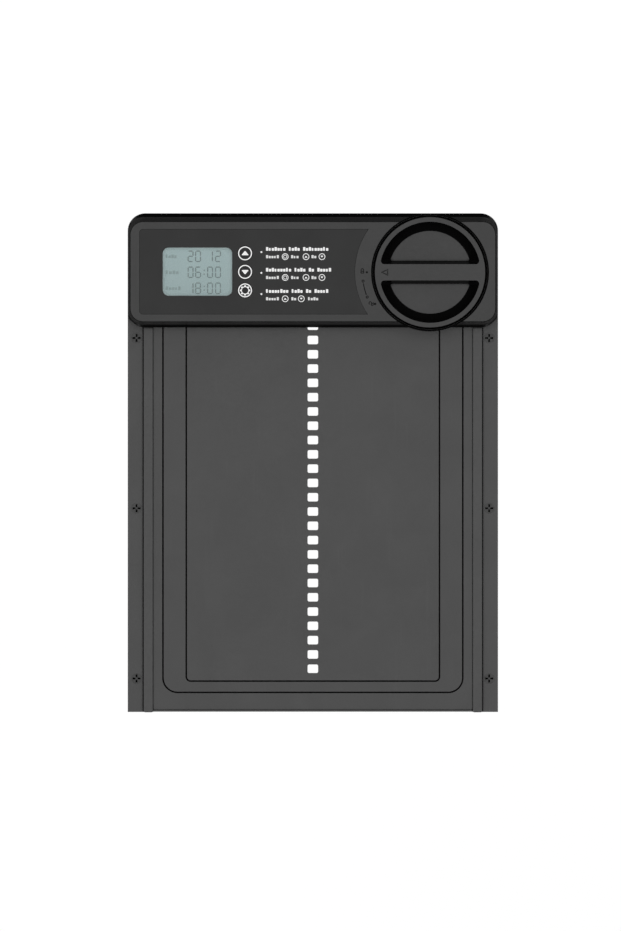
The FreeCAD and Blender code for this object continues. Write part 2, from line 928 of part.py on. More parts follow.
def make_housing_back():
    body = new_body("housing_back")
    outline = front_sketch(body, "shell_back")
    upright_rectangle(outline, "0", "frame_width", "shell_bottom", "shell_top", "shell_corner")
    pad(body, outline, "shoulder - shell_back")
    wide = front_sketch(body, "shoulder")
    upright_rectangle(wide, "0", "frame_width", "shell_bottom", "shell_top", "shell_corner")
    narrow = front_sketch(body, "seam")
    upright_rectangle(narrow, "0", "rim_width", "rim_bottom", "rim_top", "rim_corner")
    loft(body, [wide, narrow])
    disc = front_sketch(body, "shell_back")
    circle(disc, "bay_x", "bay_height", "collar_radius")
    pad(body, disc, "seam - shell_back")
    hollow = front_sketch(body, "seam")
    upright_rectangle(hollow, "0", "rim_width - 2 * shell_wall", "rim_bottom + shell_wall",
                      "rim_top - shell_wall", "rim_corner - shell_wall")
    pocket(body, hollow, "seam - shell_floor")
    bay = front_sketch(body, "seam")
    circle(bay, "bay_x", "bay_height", "bay_bore")
    pocket(body, bay, "seam - shell_floor")
    feet = front_sketch(body, "flange_front")
    for side in (-1, 1):
        upright_rectangle(feet, f"{side} * ((frame_width - foot_width) / 2 - foot_inset)", "foot_width",
                          "clamp_low - foot_below", "clamp_high + foot_above", "foot_corner")
    pad(body, feet, "shell_back - flange_front + overlap")
    bosses = front_sketch(body, "shell_floor - overlap")
    for x, height in clamp_places():
        circle(bosses, x, height, "rear_clamp_boss")
    for x, height in cover_places():
        circle(bosses, x, height, "rear_cover_boss")
    pad(body, bosses, "seam - shell_floor + overlap")
    seats = front_sketch(body, "shell_floor - overlap")
    for x, height in drive_places()[:2]:
        circle(seats, x, height, "seat_radius")
    pad(body, seats, "case_back - shell_floor + overlap")
    window = front_sketch(body, "shell_back")
    rectangle(window, "0", SPROCKET_HEIGHT, "tooth_window_width", "tooth_window_tall", "tooth_window_corner")
    pocket(body, window, "shell_floor - shell_back", forward=True)
    shafts = front_sketch(body, "flange_front")
    for x, height in clamp_places() + cover_places():
        circle(shafts, x, height, "small_hole")
    pocket(body, shafts, "seam - flange_front", forward=True)
    recesses = front_sketch(body, "shell_back")
    for x, height in cover_places():
        circle(recesses, x, height, "small_head + loose_gap")
    pocket(body, recesses, "cover_sink", forward=True)
    bores = front_sketch(body, "shell_back")
    sinks = front_sketch(body, "shell_back")
    for x, height in tub_places() + drive_places():
        circle(bores, x, height, "small_hole")
        circle(sinks, x, height, "small_head + slip_gap")
    pocket(body, bores, "case_back - shell_back", forward=True)
    pocket(body, sinks, "small_head_tall", forward=True,
           taper="atan((small_head - small_shank) / small_head_tall)")
    finish(body)


def label_outline(sketch, inset=0.0):
    """Label with rounded left corners and a hollow right end that follows the battery collar."""
    left = value("label_left") + inset
    low = value("label_bottom") + inset
    high = value("label_top") - inset
    corner = value("label_corner") - inset
    radius = value("label_arc") + inset
    centre = Vector(value("bay_x"), value("bay_height"), 0)
    right_low = centre.x - math.sqrt(radius ** 2 - (low - centre.y) ** 2)
    right_high = centre.x - math.sqrt(radius ** 2 - (high - centre.y) ** 2)
    round_low = Part.Circle(Vector(left + corner, low + corner, 0), Vector(0, 0, 1), corner)
    round_high = Part.Circle(Vector(left + corner, high - corner, 0), Vector(0, 0, 1), corner)
    hollow = Part.Arc(Vector(right_low, low, 0), Vector(centre.x - radius, centre.y, 0),
                      Vector(right_high, high, 0))
    edges = [
        Part.LineSegment(Vector(left + corner, low, 0), Vector(right_low, low, 0)),
        hollow,
        Part.LineSegment(Vector(right_high, high, 0), Vector(left + corner, high, 0)),
        Part.ArcOfCircle(round_high, math.pi / 2, math.pi),
        Part.LineSegment(Vector(left, high - corner, 0), Vector(left, low + corner, 0)),
        Part.ArcOfCircle(round_low, math.pi, 1.5 * math.pi),
    ]
    for edge in edges:
        sketch.addGeometry(edge, False)


def ring_sector(sketch, inner, outer, middle_angle, width_angle):
    """Sector of a ring about the sketch's origin; angles in degrees."""
    start = math.radians(middle_angle - width_angle / 2)
    end = math.radians(middle_angle + width_angle / 2)
    flat = Vector(0, 0, 1)
    for radius in (inner, outer):
        sketch.addGeometry(Part.ArcOfCircle(Part.Circle(Vector(), flat, radius), start, end), False)
    for turn in (start, end):
        away = Vector(math.cos(turn), math.sin(turn), 0)
        sketch.addGeometry(Part.LineSegment(away * inner, away * outer), False)


def key_heights():
    return [f"key_middle + {step} * key_pitch" for step in (1, 0, -1)]


def board_screw_places():
    return [(x, height)
            for x in ("board_left + board_screw_inset", "board_right - board_screw_inset")
            for height in ("board_bottom + board_screw_inset", "board_top - board_screw_inset")]


def make_housing_front():
    body = new_body("housing_front")
    rim = front_sketch(body, "seam")
    upright_rectangle(rim, "0", "rim_width", "rim_bottom", "rim_top", "rim_corner")
    front = front_sketch(body, "face")
    upright_rectangle(front, "0", "face_width", "face_bottom", "face_top", "face_corner")
    loft(body, [rim, front])
    fillet(body, "face_fillet", lies_at_depth("face"))
    wide = front_sketch(body, "seam")
    upright_rectangle(wide, "0", "rim_width - 2 * shell_wall", "rim_bottom + shell_wall",
                      "rim_top - shell_wall", "rim_corner - shell_wall")
    narrow = front_sketch(body, "face_inside")
    upright_rectangle(narrow, "0", "face_width - 2 * shell_wall", "face_bottom + shell_wall",
                      "face_top - shell_wall", "face_corner - shell_wall")
    loft(body, [wide, narrow], subtract=True)
    bay = front_sketch(body, "seam")
    circle(bay, "bay_x", "bay_height", "bay_bore")
    pocket(body, bay, "neck_front - seam", forward=True)
    collar = front_sketch(body, "seam")
    circle(collar, "bay_x", "bay_height", "collar_radius")
    circle(collar, "bay_x", "bay_height", "bay_bore")
    pad(body, collar, "collar_front - seam")
    chamfer(body, "collar_bevel", outer_collar_edge())
    neck = front_sketch(body, "neck_back")
    circle(neck, "bay_x", "bay_height", "bay_bore + overlap")
    circle(neck, "bay_x", "bay_height", "neck_bore")
    pad(body, neck, "neck_front - neck_back")
    mouth = front_sketch(body, "collar_front")
    circle(mouth, "bay_x", "bay_height", "counterbore")
    pocket(body, mouth, "collar_front - neck_front")
    gate = front_sketch(body, "neck_back")
    cut_bayonet_gates(gate)
    pocket(body, gate, "neck_front - neck_back", forward=True)
    notch = side_sketch(body, "bay_x - collar_radius - notch_margin")
    middle, reach = between("-(neck_back - notch_margin)", "-(seam - notch_margin)")
    rectangle(notch, middle, "bay_height", reach, "notch_tall")
    pocket(body, notch, "notch_reach", forward=True)
    recess = front_sketch(body, "face")
    label_outline(recess)
    pocket(body, recess, "face - label_back")
    openings = front_sketch(body, "label_back")
    rectangle(openings, "display_x", "display_height", "display_width", "display_tall", "display_corner")
    for height in key_heights():
        circle(openings, "key_x", height, "key_hole")
    pocket(body, openings, "label_back - face_inside + overlap")
    bosses = front_sketch(body, "seam")
    for x, height in clamp_places():
        circle(bosses, x, height, "front_clamp_boss")
    for x, height in cover_places():
        circle(bosses, x, height, "front_cover_boss")
    pad(body, bosses, "face_inside - seam + overlap")
    threads = front_sketch(body, "seam")
    for x, height in clamp_places() + cover_places():
        circle(threads, x, height, "small_shank")
    pocket(body, threads, "thread_deep", forward=True)
    posts = front_sketch(body, "board_front")
    for x, height in board_screw_places():
        circle(posts, x, height, "post_radius")
    pad(body, posts, "face_inside - board_front + overlap")
    blind = front_sketch(body, "board_front")
    for x, height in board_screw_places():
        circle(blind, x, height, "board_shank")
    pocket(body, blind, "post_bore_deep", forward=True)
    finish(body)


def outer_collar_edge():
    """Test for the outer rim of the collar's front face."""
    place = -value("collar_front")
    radius = value("collar_radius")

    def wanted(edge):
        box = edge.BoundBox
        return abs(box.YMin - place) < 1e-4 and abs(box.XLength - 2 * radius) < 1e-3

    return wanted


def cut_bayonet_gates(sketch):
    """Three gates in the neck; they stand one lock angle on from the locked lugs."""
    centre = Vector(value("bay_x"), value("bay_height"), 0)
    inner = value("neck_bore - overlap")
    outer = value("lug_gate_radius")
    half = math.radians(value("lug_angle / 2 + gate_margin"))
    for number in range(3):
        middle = math.radians(90 + 120 * number + value("lock_angle"))
        rays = [Vector(math.cos(turn), math.sin(turn), 0) for turn in (middle - half, middle + half)]
        for radius in (inner, outer):
            ring = Part.Circle(centre, Vector(0, 0, 1), radius)
            sketch.addGeometry(Part.ArcOfCircle(ring, middle - half, middle + half), False)
        for ray in rays:
            sketch.addGeometry(Part.LineSegment(centre + ray * inner, centre + ray * outer), False)


def make_housing_screws():
    """Long screws from behind the frame plate, through the rear shell, into the front cover."""
    screws = [screw("back", x, "0", height, "small_shank", "clamp_screw_reach", "small_head",
                    "small_head_tall", True)
              for x, height in clamp_places()]
    finish(group(screws, "housing_screws"))


def make_cover_screws():
    screws = [screw("back", x, "shell_back + cover_sink", height, "small_shank", "cover_screw_reach",
                    "small_head", "pan_head_tall", False)
              for x, height in cover_places()]
    finish(group(screws, "cover_screws"))


def make_drive_mount_screws():
    screws = [screw("back", x, "shell_back", height, "small_shank", "mount_screw_reach", "small_head",
                    "small_head_tall", True)
              for x, height in drive_places()]
    finish(group(screws, "drive_mount_screws"))


def make_tub_screws():
    screws = [screw("back", x, "shell_back", height, "small_shank", "mount_screw_reach", "small_head",
                    "small_head_tall", True)
              for x, height in tub_places()]
    finish(group(screws, "tub_screws"))


# ---- label, display, board and keys ----------------------------------------------------------

def make_label_panel():
    body = new_body("label_panel")
    sheet = front_sketch(body, "label_back")
    label_outline(sheet, value("label_gap"))
    pad(body, sheet, "label_front - label_back")
    openings = front_sketch(body, "label_back")
    rectangle(openings, "display_x", "display_height", "display_width", "display_tall", "display_corner")
    for height in key_heights():
        circle(openings, "key_x", height, "key_hole")
    pocket(body, openings, "label_front - label_back", forward=True)
    finish(body)


def make_lcd_window():
    body = new_body("lcd_window")
    lens = front_sketch(body, "face_inside + label_gap")
    rectangle(lens, "display_x", "display_height", "display_width - 2 * window_gap",
              "display_tall - 2 * window_gap", "display_corner - window_gap")
    pad(body, lens, "label_front - face_inside - window_gap")
    finish(body)


def make_lcd_module():
    body = new_body("lcd_module")
    glass = front_sketch(body, "board_front")
    rectangle(glass, "display_x", "display_height", "glass_width", "glass_tall")
    pad(body, glass, "face_inside - board_front - glass_gap")
    finish(body)


def make_lcd_holder():
    body = new_body("lcd_holder")
    frame = front_sketch(body, "board_front")
    rectangle(frame, "display_x", "display_height", "glass_width + 2 * holder_wall",
              "glass_tall + 2 * holder_wall", "holder_corner")
    rectangle(frame, "display_x", "display_height", "glass_width + 2 * holder_gap",
              "glass_tall + 2 * holder_gap")
    pad(body, frame, "face_inside - board_front - loose_gap")
    finish(body)


def make_control_board():
    body = new_body("control_board")
    board = front_sketch(body, "board_back")
    middle, width = between("board_left", "board_right")
    upright_rectangle(board, middle, width, "board_bottom", "board_top", "board_corner")
    pad(body, board, "board_front - board_back")
    holes = front_sketch(body, "board_back")
    for x, height in board_screw_places():
        circle(holes, x, height, "board_hole")
    pocket(body, holes, "board_front - board_back", forward=True)
    finish(body)


def make_board_components():
    """Controller, driver, crystal, buzzer and two lead sockets on the back of the board."""
    def chip(x, height, width, tall, thick):
        return block(f"{x} - {width} / 2", f"{x} + {width} / 2", f"board_back - {thick}", "board_back",
                     f"{height} - {tall} / 2", f"{height} + {tall} / 2")

    parts = [
        chip(-98, 350, 10, 10, 1.4),
        chip(-80, 336, 6, 5, 1.6),
        chip(-112, 366, 4.2, 10.5, 3.2),
        chip(-84, 352, 3.4, 2.6, 1.0),
        chip(-84, 360, 3.4, 2.6, 1.0),
    ]
    for x, height, radius, tall in ((-112, 335, 3.2, 7.5), (-104, 335, 3.2, 7.5), (-60, 332, 6.0, 5.5)):
        parts.append(rod(radius, tall, x=x, y=f"-(board_back - {tall})", z=height, along="front"))
    battery_socket = trimmed(
        block("-46.5", "-37", "board_back - 6", "board_back", "341.6", "350.4"),
        [block("-42", "-36", "board_back - 4.8", "board_back - 1.2", "342.8", "349.2")])
    motor_socket = trimmed(
        block("-77.5", "-69.5", "board_back - 6", "board_back", "363.1", "371.9"),
        [block("-75.3", "-71.7", "board_back - 7", "board_back - 2", "364.3", "370.7")])
    parts += [battery_socket, motor_socket]
    finish(group(parts, "board_components"))


def make_board_screws():
    screws = [screw("back", x, "board_back", height, "board_shank", "board_screw_reach", "board_head",
                    "board_head_tall", False)
              for x, height in board_screw_places()]
    finish(group(screws, "board_screws"))


def make_tact_switches():
    switches = []
    for height in key_heights():
        case = block("key_x - switch_width / 2", "key_x + switch_width / 2", "board_front", "switch_front",
                     f"{height} - switch_width / 2", f"{height} + switch_width / 2")
        well = rod("stem_radius + stem_gap", "2 * switch_well", x="key_x",
                   y="-(switch_front - switch_well)", z=height, along="front")
        switches.append(trimmed(case, [well]))
    finish(group(switches, "tact_switches"))


def make_key(label, height):
    """Round key with a flange that holds it behind the cover and a stem into its switch."""
    body = new_body(label)
    for depth, radius, length in (
            ("key_flange_back", "key_flange_radius", "key_flange_front - key_flange_back"),
            ("key_flange_front", "key_radius", "key_front - key_flange_front"),
            ("stem_back", "stem_radius", "key_flange_back - stem_back")):
        disc = front_sketch(body, depth)
        circle(disc, "key_x", height, radius)
        pad(body, disc, length)
    fillet(body, "key_edge", lies_at_depth("key_front"))
    finish(body)


# ---- battery bay -----------------------------------------------------------------------------

def cap_profile(sketch, corners):
    """Half section from (radius, depth) pairs, for turning about the bay's axis."""
    polygon(sketch, [(radius, f"-({depth})") for radius, depth in corners])


def scoop_outline(sketch, level, bar_width, side):
    """Finger scoop at its rim or floor: a round outer wall, a straight one at the bar, rounded corners."""
    corner = value(f"scoop_{level}_corner")
    reach = value(f"scoop_{level}_radius")
    chord = value(bar_width) / 2
    centre_y = chord + corner
    centre_x = math.sqrt((reach - corner) ** 2 - centre_y ** 2)
    stretch = reach / (reach - corner)
    touch = Vector(centre_x * stretch, centre_y * stretch, 0)
    flat = Vector(0, 0, 1)

    def point(x, y):
        return Vector(x, side * y, 0)

    def corner_arc(right):
        start = point(right * centre_x, chord)
        end = point(right * touch.x, touch.y)
        bend = Vector(right * centre_x, side * centre_y, 0)
        half_way = (start - bend) + (end - bend)
        return Part.Arc(start, bend + half_way.normalize() * corner, end)

    edges = [
        Part.LineSegment(point(-centre_x, chord), point(centre_x, chord)),
        corner_arc(1),
        Part.Arc(point(touch.x, touch.y), point(0, reach), point(-touch.x, touch.y)),
        corner_arc(-1),
    ]
    for edge in edges:
        sketch.addGeometry(edge, False)


def make_battery_cap():
    body = new_body("battery_cap")
    section = level_sketch(body, "0")
    cap_profile(section, [
        ("0", "cap_web_back"),
        ("skirt_inner", "cap_web_back"),
        ("skirt_inner", "skirt_back"),
        ("skirt_radius", "skirt_back"),
        ("skirt_radius", "groove_back"),
        ("groove_radius", "groove_back"),
        ("groove_radius", "groove_front"),
        ("skirt_radius", "groove_front"),
        ("skirt_radius", "cap_flange_back"),
        ("cap_radius", "cap_flange_back"),
        ("cap_radius", "cap_face - cap_bevel"),
        ("cap_radius - cap_bevel", "cap_face"),
        ("0", "cap_face"),
    ])
    turned(body, section)
    for side in (1, -1):
        rim = front_sketch(body, "cap_face")
        scoop_outline(rim, "rim", "bar_face", side)
        floor = front_sketch(body, "scoop_floor")
        scoop_outline(floor, "floor", "bar_base", side)
        loft(body, [rim, floor], subtract=True)
    hollow = front_sketch(body, "cap_web_back")
    rectangle(hollow, "0", "0", "bar_hollow_width", "bar_face - 2 * bar_wall", "bar_hollow_corner")
    pocket(body, hollow, "cap_face - cap_web_back - bar_roof", forward=True)
    mark = front_sketch(body, "cap_face")
    for tip, base, rise in ((-39.4, -33.6, 2.9), (-37.9, -34.5, 1.5)):
        polygon(mark, [(tip, "0"), (base, -rise), (base, rise)])
    pocket(body, mark, "mark_deep")
    lug = front_sketch(body, "skirt_back")
    ring_sector(lug, value("skirt_radius - overlap"), value("lug_radius"), 90, value("lug_angle"))
    first = pad(body, lug, "lug_front - skirt_back")
    pattern_ring(body, first, "Y_Axis", "3")
    finish(body, x="bay_x", height="bay_height")


def make_cap_oring():
    ring = DOC.addObject("Part::Torus", "cap_oring")
    bind(ring, "Radius1", "groove_radius + oring_section")
    bind(ring, "Radius2", "oring_section")
    ring.Placement = Placement(Vector(), FACING["front"])
    finish(ring, x="bay_x", depth="(groove_back + groove_front) / 2", height="bay_height")


def make_battery_tub():
    body = new_body("battery_tub")
    section = level_sketch(body, "0")
    cap_profile(section, [
        ("0", "shell_floor"),
        ("tub_radius", "shell_floor"),
        ("tub_radius", "tub_rim"),
        ("tub_inner", "tub_rim"),
        ("tub_inner", "tub_floor"),
        ("0", "tub_floor"),
    ])
    turned(body, section)
    ribs = front_sketch(body, "tub_floor - overlap")
    for side in (-1, 1):
        rectangle(ribs, f"{side} * (tub_rib_inner + tub_rib_outer) / 2", "0",
                  "tub_rib_outer - tub_rib_inner", "4 * cell_pitch - 1")
    pad(body, ribs, "cell_depth + cell_radius - tub_floor + overlap")
    bosses = front_sketch(body, "tub_floor - overlap")
    bores = front_sketch(body, "shell_floor")
    for right, up in ((1, 0), (0, 1), (-1, 0), (0, -1)):
        circle(bosses, f"{right} * tub_screw_circle", f"{up} * tub_screw_circle", "tub_boss")
        circle(bores, f"{right} * tub_screw_circle", f"{up} * tub_screw_circle", "small_shank")
    pad(body, bosses, "tub_boss_tall")
    pocket(body, bores, "mount_bore", forward=True)
    passage = side_sketch(body, "-tub_radius - 1")
    rectangle(passage, "-passage_depth", "0", "passage_wide", "passage_tall", "passage_corner")
    pocket(body, passage, "passage_reach", forward=True)
    finish(body, x="bay_x", height="bay_height")


def make_tub_seal():
    seal = trimmed(rod("tub_radius", "neck_back - tub_rim", along="front"),
                   [rod("tub_inner + seal_gap", "neck_back - tub_rim", along="front")], "tub_seal")
    finish(seal, x="bay_x", depth="tub_rim", height="bay_height")


CONTACT_X = "(tub_rib_inner - contact_thick)"


def cell_rows():
    """Heights of the four cells about the bay's axis, each with the side its nub points to."""
    rows = ((1.5, 1), (0.5, -1), (-0.5, 1), (-1.5, -1))
    return [(f"{step} * cell_pitch", facing) for step, facing in rows]


def make_battery_cells():
    cells = []
    for height, facing in cell_rows():
        body_start = f"{CONTACT_X} - cell_length" if facing > 0 else f"-{CONTACT_X} + cell_nub"
        nub_start = f"{CONTACT_X} - cell_nub" if facing > 0 else f"-{CONTACT_X}"
        can = rod("cell_radius", "cell_length - cell_nub", x=body_start, z=height, along="X")
        nub = rod("cell_nub_radius", "cell_nub", x=nub_start, z=height, along="X")
        cells.append(fused([can, nub]))
    finish(group(cells, "battery_cells"), x="bay_x", depth="cell_depth", height="bay_height")


def spring_coil(radius, length, half_turns, wire):
    """Coil of flat half turns that each rise by half a pitch, so every run of wire is part of a torus."""
    rise = length / half_turns
    arcs = []
    for index in range(half_turns):
        side = 1 - 2 * (index % 2)
        start = Vector(side * radius, 0, index * rise)
        end = Vector(-side * radius, 0, (index + 1) * rise)
        bulge = Vector(0, side * (end - start).Length / 2, 0)
        arcs.append(Part.Arc(start, (start + end) / 2 + bulge, end).toShape())
    section = Part.Wire(Part.Circle(Vector(radius, 0, 0), Vector(0, 1, 0), wire).toShape())
    return Part.Wire(arcs).makePipeShell([section], True, False)


def make_battery_springs():
    """Coil spring at the flat end of each cell."""
    wire = value("spring_wire")
    length = 2 * value(CONTACT_X) - value("cell_length") - 2 * wire
    coils = []
    for height, facing in cell_rows():
        coil = spring_coil(value("spring_radius"), length, round(value("spring_half_turns")), wire)
        start = -value(CONTACT_X) + wire if facing > 0 else value(CONTACT_X) - length - wire
        coil.Placement = Placement(Vector(start, 0, value(height)), Rotation(Vector(0, 1, 0), 90))
        coils.append(coil)
    springs = DOC.addObject("Part::Feature", "battery_springs")
    springs.Shape = Part.makeCompound(coils)
    finish(springs, x="bay_x", depth="cell_depth", height="bay_height")


def make_battery_contacts():
    """Plates on the tub's ribs; the two end plates carry tabs for the leads."""
    def plate(side, low, high):
        inner = CONTACT_X if side > 0 else "-tub_rib_inner"
        outer = "tub_rib_inner" if side > 0 else f"-{CONTACT_X}"
        return block(inner, outer, "-contact_half", "contact_half",
                     f"{low} * cell_pitch + contact_gap", f"{high} * cell_pitch - contact_gap")

    plates = [plate(1, 0, 2), plate(1, -2, 0), plate(-1, -1, 1)]
    for low in (1, -2):
        middle = f"{low + 0.5} * cell_pitch"
        tab = block("-tub_rib_inner", f"-{CONTACT_X}", "tab_start", "tab_end",
                    f"{middle} - tab_half", f"{middle} + tab_half")
        plates.append(fused([plate(-1, low, low + 1), tab]))
    finish(group(plates, "battery_contacts"), x="bay_x", depth="cell_depth", height="bay_height")


# ---- drive -----------------------------------------------------------------------------------

PRESSURE_ANGLE = math.radians(25)
BACKLASH = 0.08
ADDENDUM = 0.8                 # in modules, stubbed so that small pinions clear
DEDENDUM = 1.1


def polar(radius, turn):
    return Vector(radius * math.cos(turn), radius * math.sin(turn), 0)


def gear_outline(sketch, teeth, module, phase):
    """Involute spur gear about the sketch's origin, with a tooth's middle at the phase angle."""
    pitch_radius = teeth * module / 2
    base = pitch_radius * math.cos(PRESSURE_ANGLE)
    tip = pitch_radius + ADDENDUM * module
    root = pitch_radius - DEDENDUM * module
    thick = math.pi * module / 2 - BACKLASH / 2
    start = max(base, root)

    def half_angle(radius):
        pressure = math.acos(min(1.0, base / radius))
        spread = math.tan(PRESSURE_ANGLE) - PRESSURE_ANGLE - math.tan(pressure) + pressure
        return thick / (2 * pitch_radius) + spread

    def flank(middle, side):
        return [polar(radius, middle + side * half_angle(radius))
                for radius in (start, (start + tip) / 2, tip)]

    for number in range(teeth):
        middle = phase + 2 * math.pi * number / teeth
        following = middle + 2 * math.pi / teeth
        leading = flank(middle, -1)
        trailing = flank(middle, 1)
        root_end = polar(root, middle + half_angle(start))
        next_root = polar(root, following - half_angle(start))
        sketch.addGeometry(Part.Arc(*leading), False)
        sketch.addGeometry(Part.Arc(leading[2], polar(tip, middle), trailing[2]), False)
        sketch.addGeometry(Part.Arc(*trailing), False)
        if base > root:
            sketch.addGeometry(Part.LineSegment(trailing[0], root_end), False)
            sketch.addGeometry(Part.LineSegment(next_root, flank(following, -1)[0]), False)
        root_middle = polar(root, middle + math.pi / teeth)
        sketch.addGeometry(Part.Arc(root_end, root_middle, next_root), False)


def sprocket_outline(sketch):
    teeth = int(value("sprocket_teeth"))
    root = value("sprocket_root")
    pitch_radius = teeth * value("slot_pitch") / (2 * math.pi)
    half = value("tooth_thick") / 2
    tip_half = value("tooth_tip") / 2
    tip = value("sprocket_tip")
    tip_flat = math.sqrt(tip ** 2 - tip_half ** 2)
    bulge = Vector((pitch_radius + tip_flat) / 2, (half + tip_half) / 2 + 0.2, 0)
    foot = math.sqrt(root ** 2 - half ** 2)
    for number in range(teeth):
        middle = 2 * math.pi * number / teeth

        def place(x, y):
            return polar(math.hypot(x, y), middle + math.atan2(y, x))

        for side in (-1, 1):
            shoulder = place(pitch_radius, side * half)
            sketch.addGeometry(Part.LineSegment(place(foot, side * half), shoulder), False)
            curve = Part.Arc(shoulder, place(bulge.x, side * bulge.y), place(tip_flat, side * tip_half))
            sketch.addGeometry(curve, False)
        crown = Part.Arc(place(tip_flat, -tip_half), place(tip, 0), place(tip_flat, tip_half))
        sketch.addGeometry(crown, False)
        foot_turn = math.atan2(half, foot)
        gap_end = middle + 2 * math.pi / teeth - foot_turn
        valley = Part.Arc(polar(root, middle + foot_turn), polar(root, middle + math.pi / teeth),
                          polar(root, gap_end))
        sketch.addGeometry(valley, False)


SHAFT_STEPS = (2.98, -1.5, 0.0)    # how far each shaft stands in front of the one before it


def shaft_places():
    """Depth and height of each gear shaft, from the sprocket's shaft to the motor's."""
    pinion = value("pinion_teeth")
    reach = [
        value("module_output") * (value("teeth_output") + pinion) / 2,
        value("module_middle") * (value("teeth_middle") + pinion) / 2,
        value("module_motor") * (value("teeth_motor") + pinion) / 2,
    ]
    places = [(value("sprocket_depth"), value(SPROCKET_HEIGHT))]
    for distance, step in zip(reach, SHAFT_STEPS):
        depth, height = places[-1]
        places.append((depth + step, height + math.sqrt(distance ** 2 - step ** 2)))
    return places


def mesh_angles():
    """Direction from each shaft to the next, turning from the wall towards the top."""
    places = shaft_places()
    return [math.atan2(after[1] - before[1], before[0] - after[0])
            for before, after in zip(places, places[1:])]


def add_gear(body, x0, x1, teeth, module, phase):
    outline = side_sketch(body, x0)
    gear_outline(outline, int(value(teeth)), value(module), phase)
    pad(body, outline, f"({x1}) - ({x0})")


def add_hub(body, x0, x1, radius):
    hub = side_sketch(body, x0)
    circle(hub, "0", "0", radius)
    pad(body, hub, f"({x1}) - ({x0})")


def add_bore(body, x0, x1, radius):
    bore = side_sketch(body, x0)
    circle(bore, "0", "0", radius)
    pocket(body, bore, f"({x1}) - ({x0})", forward=True)


def pinion_phase(mesh):
    """A pinion turns a gap, half a tooth on, towards the wheel it meshes with."""
    return mesh + math.pi + math.pi / value("pinion_teeth")


def make_drive_sprocket():
    body = new_body("drive_sprocket")
    disc = side_sketch(body, "-sprocket_face / 2")
    sprocket_outline(disc)
    pad(body, disc, "sprocket_face")
    add_hub(body, "sprocket_hub_left", "sprocket_hub_right", "sprocket_hub")
    add_bore(body, "sprocket_hub_left", "sprocket_hub_right", "axle_bore")
    finish(body, depth="sprocket_depth", height=SPROCKET_HEIGHT)


def make_output_gear():
    body = new_body("output_gear")
    add_gear(body, "output_wheel_left", "output_wheel_right", "teeth_output", "module_output",
             mesh_angles()[0])
    add_hub(body, "output_hub_left", "output_hub_right", "output_hub_radius")
    add_hub(body, "output_sleeve_left", "output_hub_left", "output_sleeve_radius")
    add_bore(body, "output_sleeve_left", "output_hub_right", "axle_bore")
    finish(body, depth="sprocket_depth", height=SPROCKET_HEIGHT)


def make_output_shaft():
    shaft = fused([
        rod("axle_radius", "clip_groove_left - axle_left", x="axle_left", along="X"),
        rod("axle_radius - clip_groove_deep", "clip_groove_width", x="clip_groove_left", along="X"),
        rod("axle_radius", "axle_end", x="clip_groove_left + clip_groove_width", along="X"),
    ], "output_shaft")
    finish(shaft, depth="sprocket_depth", height=SPROCKET_HEIGHT)


def make_shaft_clip():
    place = "clip_groove_left + clip_play"
    clip = trimmed(
        rod("clip_radius", "clip_thick", x=place, along="X"),
        [rod("axle_radius - clip_groove_deep + press_gap", "clip_thick", x=place, along="X"),
         block(f"{place} - 1", f"{place} + 1", "-clip_mouth_half", "clip_mouth_half",
               "-clip_radius - 1", "0")],
        "shaft_clip")
    finish(clip, depth="sprocket_depth", height=SPROCKET_HEIGHT)


def make_compound_gears():
    places = shaft_places()
    mesh = mesh_angles()
    middle = new_body("compound_gear_2")
    add_gear(middle, "middle_wheel_left", "middle_wheel_right", "teeth_middle", "module_middle", mesh[1])
    add_gear(middle, "middle_wheel_right", "middle_pinion_right", "pinion_teeth", "module_output",
             pinion_phase(mesh[0]))
    add_hub(middle, "train_left", "middle_wheel_left", "train_hub")
    add_hub(middle, "middle_pinion_right", "train_right", "train_hub")
    add_bore(middle, "train_left", "train_right", "pin_bore")
    finish(middle, depth=places[1][0], height=places[1][1])
    fast = new_body("compound_gear_1")
    add_gear(fast, "fast_wheel_left", "fast_wheel_right", "teeth_motor", "module_motor", mesh[2])
    add_gear(fast, "fast_wheel_right", "fast_pinion_right", "pinion_teeth", "module_middle",
             pinion_phase(mesh[1]))
    add_hub(fast, "train_left", "fast_wheel_left", "train_hub")
    add_hub(fast, "fast_pinion_right", "train_right", "train_hub")
    add_bore(fast, "train_left", "train_right", "pin_bore")
    finish(fast, depth=places[2][0], height=places[2][1])
    pinion = new_body("motor_pinion")
    add_gear(pinion, "motor_pinion_left", "motor_pinion_right", "pinion_teeth", "module_motor",
             pinion_phase(mesh[2]))
    add_bore(pinion, "motor_pinion_left", "motor_pinion_right", "motor_shaft_radius")
    finish(pinion, depth=places[3][0], height=places[3][1])


def make_gear_pins():
    pins = [rod("pin_radius", "pin_length", x="pin_left", y=f"-({depth})", z=str(height), along="X")
            for depth, height in shaft_places()[1:3]]
    finish(group(pins, "gear_pins"))


def case_screw_places():
    return [(depth, height) for depth in ("case_back + case_screw_inset", "case_front - case_screw_inset")
            for height in ("case_bottom + case_screw_inset", "case_top - case_screw_inset")]


def case_outline(sketch, inset):
    middle, wide = between("-case_front", "-case_back")
    upright, tall = between("case_bottom", "case_top")
    rectangle(sketch, middle, upright, f"{wide} - 2 * {inset}", f"{tall} - 2 * {inset}",
              f"case_corner - {inset}")


def motor_screw_places():
    depth, height = shaft_places()[3]
    return [(f"{depth} {sign} motor_screw_offset", str(height)) for sign in "-+"]


